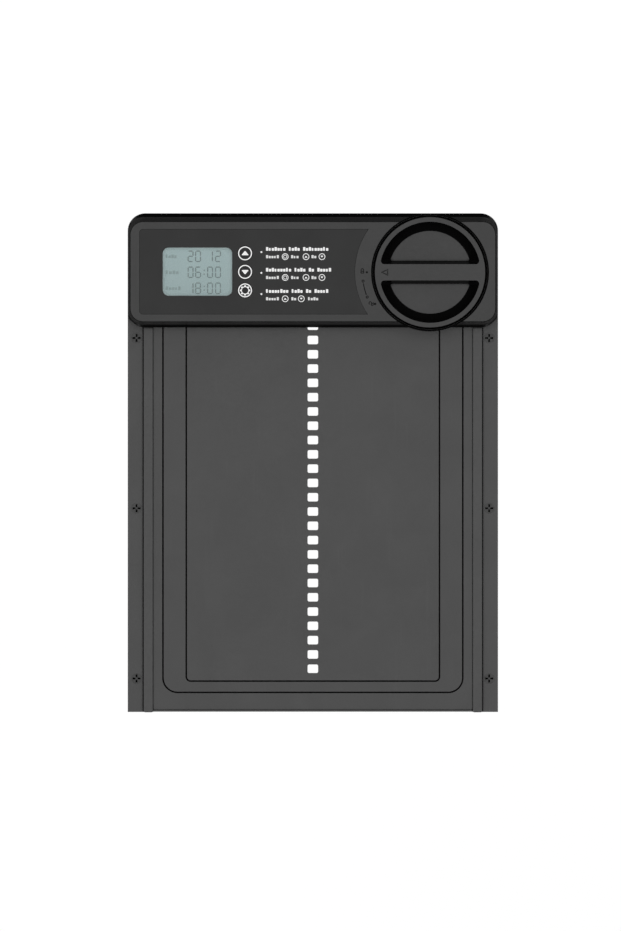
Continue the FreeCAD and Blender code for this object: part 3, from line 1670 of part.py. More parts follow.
def make_gearbox_case():
    places = shaft_places()
    body = new_body("gearbox_case")
    outer = side_sketch(body, "case_left")
    case_outline(outer, "0")
    pad(body, outer, "case_right - case_left")
    inner = side_sketch(body, "case_right")
    case_outline(inner, "case_wall")
    pocket(body, inner, "case_right - case_left - case_wall")
    bosses = side_sketch(body, "case_left + case_wall - overlap")
    for depth, height in case_screw_places():
        circle(bosses, f"-({depth})", height, "case_boss")
    pad(body, bosses, "case_right - case_left - case_wall + overlap")
    ears = front_sketch(body, "case_back")
    upright_rectangle(ears, "ear_x", "ear_width", "case_bottom - ear_reach - ear_end",
                      "case_bottom + 2 * overlap")
    upright_rectangle(ears, "ear_x", "ear_width", "case_top - 2 * overlap",
                      "case_top + ear_reach + ear_end")
    pad(body, ears, "ear_deep")
    ear_bores = front_sketch(body, "case_back")
    for x, height in drive_places()[:2]:
        circle(ear_bores, x, height, "small_shank")
    pocket(body, ear_bores, "ear_bore_deep", forward=True)
    threads = side_sketch(body, "case_right")
    for depth, height in case_screw_places():
        circle(threads, f"-({depth})", height, "case_shank")
    pocket(body, threads, "thread_deep")
    wall = side_sketch(body, "case_left")
    circle(wall, f"-{places[0][0]}", str(places[0][1]), "bush_radius + press_gap")
    for depth, height in places[1:3]:
        circle(wall, f"-{depth}", str(height), "pin_radius + press_gap")
    circle(wall, f"-{places[3][0]}", str(places[3][1]), "motor_nose_radius + slip_gap")
    for depth, height in motor_screw_places():
        circle(wall, f"-({depth})", height, "case_hole")
    pocket(body, wall, "case_wall", forward=True)
    finish(body)


def make_gearbox_cover():
    places = shaft_places()
    body = new_body("gearbox_cover")
    sheet = side_sketch(body, "case_right")
    case_outline(sheet, "0")
    pad(body, sheet, "case_wall")
    holes = side_sketch(body, "case_right")
    circle(holes, f"-{places[0][0]}", str(places[0][1]), "bush_radius + press_gap")
    for depth, height in places[1:3]:
        circle(holes, f"-{depth}", str(height), "pin_radius + press_gap")
    for depth, height in case_screw_places():
        circle(holes, f"-({depth})", height, "case_hole")
    pocket(body, holes, "case_wall", forward=True)
    finish(body)


def make_gearbox_screws():
    screws = [screw("right", "case_right + case_wall", depth, height, "case_shank", "case_screw_reach",
                    "case_head", "case_head_tall", False)
              for depth, height in case_screw_places()]
    finish(group(screws, "gearbox_screws"))


def make_outboard_bearing():
    body = new_body("outboard_bearing")
    upright = side_sketch(body, "bearing_left")
    middle, wide = between("-(sprocket_depth + bearing_past_axle)", "-shell_floor")
    rectangle(upright, middle, SPROCKET_HEIGHT, wide, "bearing_tall", "bearing_corner")
    pad(body, upright, "bearing_right - bearing_left")
    foot = front_sketch(body, "shell_floor")
    middle, wide = between("bearing_left", "bearing_foot_x + bearing_foot_end")
    rectangle(foot, middle, SPROCKET_HEIGHT, wide, "bearing_tall", "bearing_foot_corner")
    pad(body, foot, "bearing_foot_thick")
    boss = front_sketch(body, "shell_floor + bearing_foot_thick - overlap")
    circle(boss, "bearing_foot_x", SPROCKET_HEIGHT, "seat_radius")
    pad(body, boss, "bearing_boss_top - bearing_foot_thick + overlap")
    bore = side_sketch(body, "bearing_left")
    circle(bore, "-sprocket_depth", SPROCKET_HEIGHT, "bush_radius + press_gap")
    pocket(body, bore, "bearing_right - bearing_left", forward=True)
    thread = front_sketch(body, "shell_floor")
    circle(thread, "bearing_foot_x", SPROCKET_HEIGHT, "small_shank")
    pocket(body, thread, "mount_bore", forward=True)
    finish(body)


def make_shaft_bushes():
    """Flanged bushes in the case, the cover and the outer bearing."""
    def bush(x0, x1, flange_x):
        sleeve = rod("bush_radius", f"({x1}) - ({x0})", x=x0, along="X")
        collar = rod("bush_flange", "bush_flange_thick", x=flange_x, along="X")
        bore = rod("bush_bore", f"({x1}) - ({x0}) + 4 * bush_flange_thick",
                   x=f"{x0} - 2 * bush_flange_thick", along="X")
        return trimmed(fused([sleeve, collar]), [bore])

    bushes = [
        bush("case_left", "case_left + case_wall", "case_left + case_wall"),
        bush("case_right", "case_right + case_wall", "case_right + case_wall"),
        bush("bearing_left", "bearing_right", "bearing_left - bush_flange_thick"),
    ]
    finish(group(bushes, "shaft_bushes"), depth="sprocket_depth", height=SPROCKET_HEIGHT)


def make_drive_motor():
    depth, height = shaft_places()[3]
    can = rod("motor_radius", "motor_length", x="case_left - motor_length", along="X")
    nose = rod("motor_nose_radius", "case_wall", x="case_left", along="X")
    rear = "case_left - motor_length - motor_tail"
    tail = rod("motor_nose_radius", "motor_tail", x=rear, along="X")
    tabs = [block(rear, "case_left - motor_length", "-terminal_half_width", "terminal_half_width",
                  f"{side} * terminal_offset - terminal_half_thick",
                  f"{side} * terminal_offset + terminal_half_thick") for side in (-1, 1)]
    bore = rod("motor_shaft_radius + slip_gap", "motor_length + 4 * motor_tail", x=f"{rear} - 1", along="X")
    holes = [rod("motor_shank", "motor_bore_deep", x="case_left - motor_bore_deep",
                 y=f"{side} * motor_screw_offset", along="X") for side in (-1, 1)]
    motor = trimmed(fused([can, nose, tail] + tabs), [bore] + holes, "drive_motor")
    finish(motor, depth=depth, height=height)


def make_motor_shaft():
    depth, height = shaft_places()[3]
    shaft = rod("motor_shaft_radius", "motor_shaft_length",
                x="case_left - motor_length - motor_shaft_behind", along="X")
    shaft.Label = "motor_shaft"
    finish(shaft, depth=depth, height=height)


def make_motor_screws():
    screws = [screw("right", "case_left + case_wall", depth, height, "motor_shank", "motor_screw_reach",
                    "motor_head", "motor_head_tall", False)
              for depth, height in motor_screw_places()]
    finish(group(screws, "motor_screws"))


# ---- leads -----------------------------------------------------------------------------------

BEND_SHARE = 0.45              # share of the shorter run that a bend takes on each side


def lead(points, name):
    """Round lead along straight runs joined by tangent arcs; prints its bend radii."""
    radius = value("lead_radius")
    corners = [Vector(*point) for point in points]
    runs = [after - before for before, after in zip(corners, corners[1:])]
    edges = []
    bends = []
    place = corners[0]
    for number in range(1, len(corners) - 1):
        into, out = runs[number - 1], runs[number]
        half_turn = into.getAngle(out) / 2
        short = min(into.Length, out.Length)
        bend = BEND_SHARE * short / math.tan(half_turn)
        start = corners[number] - into.normalize() * (BEND_SHARE * short)
        end = corners[number] + Vector(out).normalize() * (BEND_SHARE * short)
        inward = (Vector(out).normalize() - Vector(into).normalize()).normalize()
        centre = corners[number] + inward * (bend / math.cos(half_turn))
        edges.append(Part.LineSegment(place, start).toShape())
        edges.append(Part.Arc(start, centre - inward * bend, end).toShape())
        bends.append(round(bend, 1))
        place = end
        runs[number - 1] = corners[number] - corners[number - 1]
    edges.append(Part.LineSegment(place, corners[-1]).toShape())
    path = Part.Wire(edges)
    section = Part.Wire(Part.Circle(corners[0], runs[0], radius).toShape())
    tube = path.makePipeShell([section], True, True)
    expected = math.pi * radius ** 2 * path.Length
    print(f"{name}: radii {bends}, length {path.Length:.1f}, volume ratio {tube.Volume / expected:.4f}")
    return tube


def make_leads(label, routes):
    leads = DOC.addObject("Part::Feature", label)
    leads.Shape = Part.makeCompound([lead(points, label) for points in routes])
    finish(leads)


def battery_route(side):
    """From a contact tab, out of the tub, across the front of the gearbox, to the board."""
    x = value("bay_x")
    axis = value("bay_height")
    apart = 1.25 * side
    return [
        (x - 28.65, -28.3, axis + 22.2 * side),
        (x - 34.0, -28.3, axis + 22.2 * side),
        (x - 39.5, -29.0, axis + 14.0 * side),
        (x - 42.5, -29.6, axis + 6.0 * side),
        (x - 47.5, -30.0, axis + 1.9 * side),
        (x - 56.0, -30.4, axis - 0.6 + apart),
        (x - 67.0, -33.6, axis - 1.4 + apart),
        (x - 82.0, -39.4, axis - 2.6 + apart),
        (x - 98.0, -41.6, axis - 4.1 + apart),
        (x - 113.0, -41.5, axis - 5.3 + apart),
        (x - 122.0, -39.4, axis - 6.1 + apart),
        (x - 135.5, -36.4, axis - 6.7 + apart),
    ]


def motor_route(side):
    """From a motor terminal round to the socket on the back of the board."""
    depth, height = shaft_places()[3]
    rear = value("case_left - motor_length - motor_tail")
    return [
        (rear, -depth, height + 5.0 * side),
        (rear - 6.5, -depth, height + 5.0 * side),
        (rear - 12.5, -depth - 3.4, height + 2.4 * side),
        (rear - 14.9, -depth - 9.6, height + 1.3 * side),
    ]


# ---- build -----------------------------------------------------------------------------------

def build():
    fill_sheet()
    make_back_plate()
    for label, side in (("left", -1), ("right", 1)):
        make_side_rail(f"{label}_side_rail", side)
        make_guide_strip(f"{label}_guide_strip", side)
    make_backing_shoe()
    make_wall_screws()
    make_door_panel()
    make_housing_back()
    make_housing_front()
    make_housing_screws()
    make_cover_screws()
    make_label_panel()
    make_lcd_window()
    make_lcd_module()
    make_lcd_holder()
    make_control_board()
    make_board_components()
    make_board_screws()
    make_tact_switches()
    for label, height in zip(("key_up", "key_down", "key_set"), key_heights()):
        make_key(label, height)
    make_battery_cap()
    make_cap_oring()
    make_battery_tub()
    make_tub_seal()
    make_tub_screws()
    make_battery_cells()
    make_battery_springs()
    make_battery_contacts()
    make_drive_sprocket()
    make_output_gear()
    make_output_shaft()
    make_shaft_clip()
    make_compound_gears()
    make_gear_pins()
    make_gearbox_case()
    make_gearbox_cover()
    make_gearbox_screws()
    make_drive_mount_screws()
    make_outboard_bearing()
    make_shaft_bushes()
    make_drive_motor()
    make_motor_shaft()
    make_motor_screws()
    make_leads("battery_leads", [battery_route(side) for side in (-1, 1)])
    make_leads("motor_leads", [motor_route(side) for side in (-1, 1)])


def check():
    for thing in DOC.Objects:
        if "Invalid" in thing.State or "Error" in thing.State:
            raise RuntimeError(f"{thing.Label} did not compute: {thing.State}")
    for piece in PIECES:
        if piece.Shape.isNull() or not piece.Shape.isValid():
            raise RuntimeError(f"{piece.Label} has no valid shape")


def write():
    os.makedirs("parts", exist_ok=True)
    for piece in PIECES:
        piece.Shape.exportStep(f"parts/{piece.Label}.step")
        print(f"{piece.Label}: {len(piece.Shape.Solids)} solids, {piece.Shape.Volume:.1f} mm3")


build()
DOC.recompute()
check()
write()
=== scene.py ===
import bmesh
import bpy
import math
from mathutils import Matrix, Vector


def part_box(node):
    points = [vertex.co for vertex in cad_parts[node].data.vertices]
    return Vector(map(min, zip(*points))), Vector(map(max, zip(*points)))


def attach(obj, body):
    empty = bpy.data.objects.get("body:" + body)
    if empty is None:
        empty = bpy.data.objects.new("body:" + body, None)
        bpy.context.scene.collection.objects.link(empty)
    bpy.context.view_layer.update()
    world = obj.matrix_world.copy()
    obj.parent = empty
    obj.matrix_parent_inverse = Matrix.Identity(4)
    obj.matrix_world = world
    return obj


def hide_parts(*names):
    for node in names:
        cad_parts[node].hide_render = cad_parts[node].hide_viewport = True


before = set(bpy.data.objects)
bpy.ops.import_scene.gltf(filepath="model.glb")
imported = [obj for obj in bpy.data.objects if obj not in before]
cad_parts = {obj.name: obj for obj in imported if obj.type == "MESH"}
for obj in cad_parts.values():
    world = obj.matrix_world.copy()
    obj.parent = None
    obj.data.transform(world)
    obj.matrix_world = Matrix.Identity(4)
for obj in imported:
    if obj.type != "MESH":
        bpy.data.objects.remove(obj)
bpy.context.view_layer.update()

# Looks of the automatic coop door. Shapes are drawn in millimetres in the row frame (x to the right,
# y into the wall, z up) and become metres when a mesh is made.

MM = 0.001


def box_mm(node):
    """Lowest and highest corner of a CAD node, in millimetres."""
    low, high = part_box(node)
    return low / MM, high / MM


def centre_mm(node):
    low, high = box_mm(node)
    return (low + high) / 2


# ---- materials: the builder -----------------------------------------------------------------

class Recipe:
    """A node material being put together. Patterns are placed in object space, in millimetres."""

    def __init__(self, name):
        self.material = bpy.data.materials.new(name)
        self.material.use_nodes = True
        self.tree = self.material.node_tree
        self.tree.nodes.clear()
        self.output = self.node("ShaderNodeOutputMaterial")
        place = self.node("ShaderNodeTexCoord").outputs["Object"]
        self.place = self.stretched((1, 1, 1), place, 1 / MM)
        self.relief = None

    def node(self, kind, **settings):
        made = self.tree.nodes.new(kind)
        for key, setting in settings.items():
            setattr(made, key, setting)
        return made

    def feed(self, socket, source):
        """Links an output to the input, or sets the input to a number or colour."""
        if isinstance(source, bpy.types.NodeSocket):
            self.tree.links.new(source, socket)
        else:
            socket.default_value = source

    def stretched(self, amounts, vector=None, scale=1.0):
        """The place, each axis multiplied by its amount."""
        made = self.node("ShaderNodeVectorMath", operation="MULTIPLY")
        self.feed(made.inputs[0], vector or self.place)
        made.inputs[1].default_value = [amount * scale for amount in amounts]
        return made.outputs[0]

    def axis(self, letter):
        """One coordinate of the place, in millimetres."""
        made = self.node("ShaderNodeSeparateXYZ")
        self.feed(made.inputs[0], self.place)
        return made.outputs[letter]

    def maths(self, operation, first, second=0.0, clamp=False):
        made = self.node("ShaderNodeMath", operation=operation, use_clamp=clamp)
        self.feed(made.inputs[0], first)
        self.feed(made.inputs[1], second)
        return made.outputs[0]

    def noise(self, size, detail=2.0, vector=None, distortion=0.0):
        """Soft noise from 0 to 1 whose blotches are about size millimetres."""
        made = self.node("ShaderNodeTexNoise")
        self.feed(made.inputs["Vector"], vector or self.place)
        made.inputs["Scale"].default_value = 1 / size
        made.inputs["Detail"].default_value = detail
        made.inputs["Distortion"].default_value = distortion
        return made.outputs["Fac"]

    def cells(self, size):
        """Distance from the nearest of scattered points that are about size millimetres apart."""
        made = self.node("ShaderNodeTexVoronoi")
        self.feed(made.inputs["Vector"], self.place)
        made.inputs["Scale"].default_value = 1 / size
        return made.outputs["Distance"]

    def span(self, source, low, high, start=0.0, end=1.0):
        """Maps low..high smoothly onto start..end, and holds it outside."""
        made = self.node("ShaderNodeMapRange", interpolation_type="SMOOTHSTEP", clamp=True)
        self.feed(made.inputs["Value"], source)
        for name, number in (("From Min", low), ("From Max", high), ("To Min", start), ("To Max", end)):
            made.inputs[name].default_value = number
        return made.outputs[0]

    def mix(self, share, first, second):
        """Colour between first, at share 0, and second, at share 1."""
        made = self.node("ShaderNodeMix", data_type="RGBA")
        self.feed(made.inputs["Factor"], share)
        for name, colour in (("A", first), ("B", second)):
            socket = [s for s in made.inputs if s.name == name and s.type == "RGBA"][0]
            self.feed(socket, colour if isinstance(colour, bpy.types.NodeSocket) else (*colour, 1))
        return [s for s in made.outputs if s.type == "RGBA"][0]

    def darkened(self, colour, share):
        """The colour multiplied by a grey share."""
        made = self.node("ShaderNodeVectorMath", operation="SCALE")
        self.feed(made.inputs[0], colour if isinstance(colour, bpy.types.NodeSocket) else colour[:3])
        self.feed(made.inputs["Scale"], share)
        return made.outputs[0]

    def openness(self, reach, closed=0.42, clear=0.9):
        """1 on open surfaces, falling to 0 in seams and inner corners narrower than reach millimetres: an
        occlusion mask that the materials use to paint shade there.
        """
        made = self.node("ShaderNodeAmbientOcclusion", samples=8)
        made.inputs["Distance"].default_value = reach * MM
        return self.span(made.outputs["AO"], closed, clear)

    def edges(self, radius):
        """1 along sharp outer edges, 0 on flat surfaces."""
        soft = self.node("ShaderNodeBevel", samples=4)
        soft.inputs["Radius"].default_value = radius * MM
        turn = self.node("ShaderNodeVectorMath", operation="DOT_PRODUCT")
        self.feed(turn.inputs[0], soft.outputs[0])
        self.feed(turn.inputs[1], self.node("ShaderNodeNewGeometry").outputs["Normal"])
        return self.span(turn.outputs["Value"], 0.995, 0.9)

    def slopes(self):
        """1 on the sloping bands between the front faces and the side walls, 0 on both of those."""
        part = self.node("ShaderNodeSeparateXYZ")
        self.feed(part.inputs[0], self.node("ShaderNodeTexCoord").outputs["Normal"])
        lean = self.maths("ABSOLUTE", part.outputs["Y"])
        return self.maths("MULTIPLY", self.span(lean, 0.10, 0.22), self.span(lean, 0.97, 0.93))

    def raise_by(self, height, depth):
        """Adds relief: height from 0 to 1, depth in millimetres."""
        made = self.node("ShaderNodeBump")
        made.inputs["Distance"].default_value = depth * MM
        self.feed(made.inputs["Height"], height)
        if self.relief is not None:
            self.feed(made.inputs["Normal"], self.relief)
        self.relief = made.outputs[0]

    def surface(self, colour, roughness, metallic=0.0, specular=0.5, **extra):
        """Principled shader with the relief so far."""
        shader = self.node("ShaderNodeBsdfPrincipled")
        inputs = {"Base Color": colour, "Roughness": roughness, "Metallic": metallic,
                  "Specular IOR Level": specular, **extra}
        for name, source in inputs.items():
            if name in ("Base Color", "Emission Color") and not isinstance(source, bpy.types.NodeSocket):
                source = (*source[:3], 1)
            self.feed(shader.inputs[name], source)
        if self.relief is not None:
            self.feed(shader.inputs["Normal"], self.relief)
        return shader.outputs[0]

    def done(self, shader):
        """The finished material."""
        self.feed(self.output.inputs["Surface"], shader)
        return self.material


def grey(level):
    return (level, level, level)


# ---- materials: paint and plastic -----------------------------------------------------------

SEAM_PAINTED_SHADE = 0.12                   # painted shade: share of the colour that is left deep in a seam
RUBBED_TONE = 0.11
EDGE_REACH = 0.45                  # width of the rubbed edges
SLOPE_PAINTED_SHADE = 0.12                  # painted shade: shares of colour and gloss that are left on a sloping band
SLOPE_GLOSS = 0.4
SLOPE_ROUGHNESS = 0.16


def textured_skin(name, tone, gloss, roughness, grain, grain_depth, peel, peel_depth, seam_reach, wear):
    """Dark paint or moulded plastic: fine grain over soft waviness, painted shade in seams and inner
    corners, and rubbed edges.

    Its sloping bands are smoother than its faces, as where a tool is polished, and are painted darker and
    less glossy, as painted shade. Sizes and depths of the grain and the waviness (peel), and the reach of
    the painted seam shade, are in millimetres.
    """
    mat = Recipe(name)
    fine = mat.cells(grain)
    wavy = mat.noise(peel, 3)
    clouds = mat.noise(38, 4, distortion=0.6)
    streaks = mat.noise(5, 3, mat.stretched((1, 1, 0.06)))
    mat.raise_by(wavy, peel_depth)
    mat.raise_by(fine, grain_depth)
    colour = mat.mix(clouds, grey(tone * 0.84), grey(tone * 1.14))
    colour = mat.mix(mat.span(streaks, 0.6, 0.8, 0, 0.3), colour, grey(tone * 1.5))
    patches = mat.span(mat.noise(2.2, 4), 0.42, 0.66, 0, wear)
    rubbed = mat.maths("MULTIPLY", mat.edges(EDGE_REACH), patches)
    colour = mat.mix(rubbed, colour, grey(RUBBED_TONE))
    clear = mat.openness(seam_reach)
    slope_shade_and_polish = mat.slopes()
    # painted shade: colour darkened in seams and inner corners by the occlusion mask
    colour = mat.darkened(colour, mat.span(clear, 0, 1, SEAM_PAINTED_SHADE, 1))
    # painted shade: colour darkened on the sloping bands, by the way they face
    colour = mat.darkened(colour, mat.span(slope_shade_and_polish, 0, 1, 1, SLOPE_PAINTED_SHADE))
    # gloss is cut in seams and on sloping bands: painted shade in the reflection
    shine = mat.maths("MULTIPLY", clear, mat.span(clouds, 0.2, 0.8, gloss * 0.97, gloss * 1.03))
    shine = mat.maths("MULTIPLY", shine, mat.span(slope_shade_and_polish, 0, 1, 1, SLOPE_GLOSS))
    rough = mat.maths("ADD", mat.span(wavy, 0.2, 0.8, roughness - 0.03, roughness + 0.03),
                      mat.maths("MULTIPLY", rubbed, -0.08))
    rough = mat.maths("ADD", rough, mat.maths("MULTIPLY", slope_shade_and_polish, SLOPE_ROUGHNESS - roughness))
    return mat.done(mat.surface(colour, rough, specular=shine))


def coated_sheet():
    return textured_skin("powder_coated_frame", tone=0.042, gloss=0.533, roughness=0.36, grain=0.30,
                         grain_depth=0.010, peel=1.1, peel_depth=0.014, seam_reach=2.4, wear=0.5)


def coated_leaf():
    return textured_skin("powder_coated_leaf", tone=0.042, gloss=0.533, roughness=0.36, grain=0.30,
                         grain_depth=0.010, peel=1.3, peel_depth=0.014, seam_reach=1.6, wear=0.4)


def strip_plastic():
    return textured_skin("extruded_strip", tone=0.042, gloss=0.533, roughness=0.35, grain=0.40,
                         grain_depth=0.006, peel=2.6, peel_depth=0.010, seam_reach=2.6, wear=0.3)


def housing_plastic():
    return textured_skin("spark_textured_housing", tone=0.027, gloss=0.406, roughness=0.34, grain=0.22,
                         grain_depth=0.008, peel=1.8, peel_depth=0.008, seam_reach=2.4, wear=0.2)


def cap_plastic():
    return textured_skin("spark_textured_cap", tone=0.027, gloss=0.425, roughness=0.34, grain=0.22,
                         grain_depth=0.008, peel=1.8, peel_depth=0.008, seam_reach=3.2, wear=0.25)


def inner_plastic():
    return textured_skin("moulded_inner_parts", tone=0.024, gloss=0.42, roughness=0.42, grain=0.35,
                         grain_depth=0.010, peel=2.4, peel_depth=0.016, seam_reach=3.0, wear=0.15)


def key_plastic():
    return textured_skin("soft_touch_keys", tone=0.016, gloss=0.30, roughness=0.46, grain=0.16,
                         grain_depth=0.006, peel=1.2, peel_depth=0.008, seam_reach=1.2, wear=0.2)


def label_film():
    """Matt printed film: a very fine emboss, a slight sheen and painted shade in its seams."""
    mat = Recipe("printed_label_film")
    fine = mat.noise(0.14, 1)
    clouds = mat.noise(26, 3)
    mat.raise_by(fine, 0.004)
    mat.raise_by(mat.noise(9, 2), 0.02)
    clear = mat.openness(1.6)
    colour = mat.mix(clouds, grey(0.0200), grey(0.0250))
    # painted shade: colour darkened and gloss cut in seams by the occlusion mask
    colour = mat.darkened(colour, mat.span(clear, 0, 1, 0.2, 1))
    shine = mat.maths("MULTIPLY", clear, mat.span(clouds, 0.2, 0.8, 0.268, 0.298))
    return mat.done(mat.surface(colour, mat.span(fine, 0.2, 0.8, 0.36, 0.44), specular=shine))


def natural_plastic(name, light, dark, roughness):
    """Unpigmented acetal: faint flow marks, slightly yellowed, with painted shade in inner corners."""
    mat = Recipe(name)
    flow = mat.noise(4, 4, distortion=1.4)
    mat.raise_by(mat.noise(0.5, 2), 0.006)
    colour = mat.mix(flow, light, dark)
    # painted shade: darker in inner corners by the occlusion mask
    colour = mat.darkened(colour, mat.span(mat.openness(2.0), 0, 1, 0.45, 1))
    rough = mat.span(flow, 0.2, 0.8, roughness - 0.06, roughness + 0.06)
    return mat.done(mat.surface(colour, rough, specular=0.5))


def bearing_plastic():
    return natural_plastic("acetal_shoe", (0.60, 0.59, 0.55), (0.46, 0.45, 0.41), 0.38)


def gear_plastic():
    return natural_plastic("acetal_gears", (0.66, 0.65, 0.60), (0.50, 0.48, 0.43), 0.34)


def seal_rubber():
    """Nitrile with a dusty bloom and a trace of grease."""
    mat = Recipe("nitrile_rubber")
    bloom = mat.noise(2.2, 4)
    mat.raise_by(mat.noise(0.35, 3), 0.012)
    colour = mat.mix(mat.span(bloom, 0.45, 0.75), grey(0.012), grey(0.035))
    return mat.done(mat.surface(colour, mat.span(bloom, 0.3, 0.7, 0.35, 0.62), specular=0.4))


def wire_jacket():
    """Thin PVC lead jackets, one red and one black in each pair."""
    mat = Recipe("pvc_lead_jackets")
    which = mat.node("ShaderNodeNewGeometry").outputs["Random Per Island"]
    colour = mat.mix(mat.maths("GREATER_THAN", which, 0.5), (0.015, 0.014, 0.014), (0.36, 0.018, 0.014))
    scuff = mat.noise(1.6, 4)
    colour = mat.darkened(colour, mat.span(scuff, 0.3, 0.7, 0.78, 1.1))
    mat.raise_by(mat.noise(0.6, 2), 0.01)
    return mat.done(mat.surface(colour, mat.span(scuff, 0.3, 0.7, 0.3, 0.46)))


# ---- materials: metal -----------------------------------------------------------------------

def plated_metal(name, bright, dull, roughness, lines=(1, 1, 1), line_size=0.3):
    """Metal with a machined or rolled grain, blotches in its plating and painted shade in inner corners.
    """
    mat = Recipe(name)
    grain = mat.noise(line_size, 3, mat.stretched(lines))
    blotch = mat.noise(3.5, 4, distortion=0.8)
    mat.raise_by(grain, 0.006)
    colour = mat.mix(blotch, bright, dull)
    colour = mat.darkened(colour, mat.span(grain, 0.3, 0.7, 0.86, 1.06))
    # painted shade: darker in inner corners by the occlusion mask
    colour = mat.darkened(colour, mat.span(mat.openness(1.5), 0, 1, 0.3, 1))
    rough = mat.span(blotch, 0.25, 0.75, roughness - 0.07, roughness + 0.09)
    return mat.done(mat.surface(colour, rough, metallic=1.0))


def zinc_screw():
    return plated_metal("zinc_plated_screws", (0.66, 0.67, 0.70), (0.50, 0.50, 0.46), 0.30)


def black_screw():
    """Black oxide under a wipe of oil, worn to steel on the rim of the recess, with painted shade deep in
    the recess.
    """
    mat = Recipe("black_oxide_screws")
    blotch = mat.noise(1.4, 4)
    mat.raise_by(mat.noise(0.3, 3), 0.010)
    worn = mat.maths("MULTIPLY", mat.edges(0.2), mat.span(mat.noise(0.8, 3), 0.45, 0.7, 0, 0.5))
    clear = mat.openness(1.3, 0.4, 0.9)
    colour = mat.mix(blotch, grey(0.026), grey(0.036))
    colour = mat.mix(worn, colour, grey(0.16))
    # painted shade: colour darkened deep in the recess and gloss cut there by the occlusion mask
    colour = mat.darkened(colour, mat.span(clear, 0, 1, 0.1, 1))
    shine = mat.maths("MULTIPLY", clear, 0.48)
    return mat.done(mat.surface(colour, mat.span(blotch, 0.3, 0.7, 0.32, 0.42), specular=shine))


def plated_spring():
    return plated_metal("nickel_plated_contacts", (0.72, 0.69, 0.62), (0.58, 0.55, 0.48), 0.24)


def shaft_steel():
    return plated_metal("ground_steel_shafts", (0.62, 0.62, 0.63), (0.50, 0.50, 0.51), 0.20,
                        lines=(6, 0.3, 0.3), line_size=0.5)


def motor_steel():
    return plated_metal("rolled_motor_can", (0.60, 0.61, 0.62), (0.46, 0.46, 0.45), 0.32,
                        lines=(0.1, 1, 1), line_size=0.25)


def bush_bronze():
    """Sintered bronze: open pores in a brown-gold surface."""
    mat = Recipe("sintered_bronze")
    pores = mat.cells(0.35)
    stain = mat.noise(2.5, 3)
    mat.raise_by(pores, 0.02)
    colour = mat.mix(stain, (0.44, 0.26, 0.11), (0.30, 0.17, 0.08))
    colour = mat.darkened(colour, mat.span(pores, 0.05, 0.3, 0.55, 1))
    return mat.done(mat.surface(colour, mat.span(pores, 0.1, 0.6, 0.5, 0.34), metallic=1.0))


# ---- materials: electronics -----------------------------------------------------------------

def circuit_board():
    """Green solder mask over copper tracks, with light metal pads scattered over it."""
    mat = Recipe("circuit_board")
    across = mat.node("ShaderNodeTexBrick", offset=0.37, squash=0.7, squash_frequency=3)
    turned = mat.node("ShaderNodeCombineXYZ")
    mat.feed(turned.inputs["X"], mat.axis("X"))
    mat.feed(turned.inputs["Y"], mat.axis("Z"))
    mat.feed(across.inputs["Vector"], turned.outputs[0])
    sizes = {"Scale": 1.0, "Mortar Size": 0.16, "Brick Width": 7.3, "Row Height": 2.1}
    for name, number in sizes.items():
        across.inputs[name].default_value = number
    track = across.outputs["Fac"]
    pads = mat.span(mat.cells(3.1), 0.16, 0.10)
    mask = mat.mix(mat.noise(7, 3), (0.010, 0.075, 0.030), (0.014, 0.105, 0.042))
    colour = mat.mix(mat.maths("MULTIPLY", track, 0.6), mask, (0.035, 0.19, 0.07))
    colour = mat.mix(mat.maths("MULTIPLY", pads, 0.85), colour, (0.52, 0.50, 0.44))
    mat.raise_by(track, 0.03)
    mat.raise_by(mat.noise(0.4, 2), 0.008)
    return mat.done(mat.surface(colour, mat.span(pads, 0, 1, 0.26, 0.38)))


def chip_plastic():
    """Board parts: moulded black packages, with a few tan, blue and silver ones among them."""
    mat = Recipe("board_parts")
    which = mat.node("ShaderNodeNewGeometry").outputs["Random Per Island"]
    speckle = mat.noise(0.3, 3)
    mat.raise_by(speckle, 0.012)
    colour = grey(0.018)
    for share, paint in ((0.62, (0.30, 0.21, 0.11)), (0.78, (0.03, 0.07, 0.22)), (0.88, grey(0.55))):
        colour = mat.mix(mat.maths("GREATER_THAN", which, share), colour, paint)
    colour = mat.darkened(colour, mat.span(speckle, 0.3, 0.7, 0.85, 1.1))
    return mat.done(mat.surface(colour, mat.span(speckle, 0.3, 0.7, 0.42, 0.56)))


BARE_END = 2.6                     # bare steel at each end of a cell
BAND_START = 10.5                  # where the second tone of the sleeve starts, from its middle
BAND_SOFT = 0.5


def cell_jacket():
    """Shrink sleeve in two plain tones, with bare steel on the ends of each cell."""
    mat = Recipe("cell_sleeves")
    low, high = box_mm("battery_cells")
    middle = (low.x + high.x) / 2
    reach = mat.maths("ABSOLUTE", mat.maths("SUBTRACT", mat.axis("X"), middle))
    bare = mat.maths("GREATER_THAN", reach, (high.x - low.x) / 2 - BARE_END)
    beyond = mat.maths("SUBTRACT", mat.axis("X"), middle)
    band = mat.span(beyond, BAND_START, BAND_START + BAND_SOFT)
    print_grain = mat.noise(0.5, 3)
    mat.raise_by(mat.noise(2.5, 3), 0.03)
    sleeve = mat.mix(band, (0.030, 0.034, 0.040), (0.36, 0.24, 0.05))
    sleeve = mat.darkened(sleeve, mat.span(print_grain, 0.3, 0.7, 0.88, 1.08))
    colour = mat.mix(bare, sleeve, (0.60, 0.60, 0.58))
    return mat.done(mat.surface(colour, mat.span(print_grain, 0.3, 0.7, 0.24, 0.34), metallic=bare))


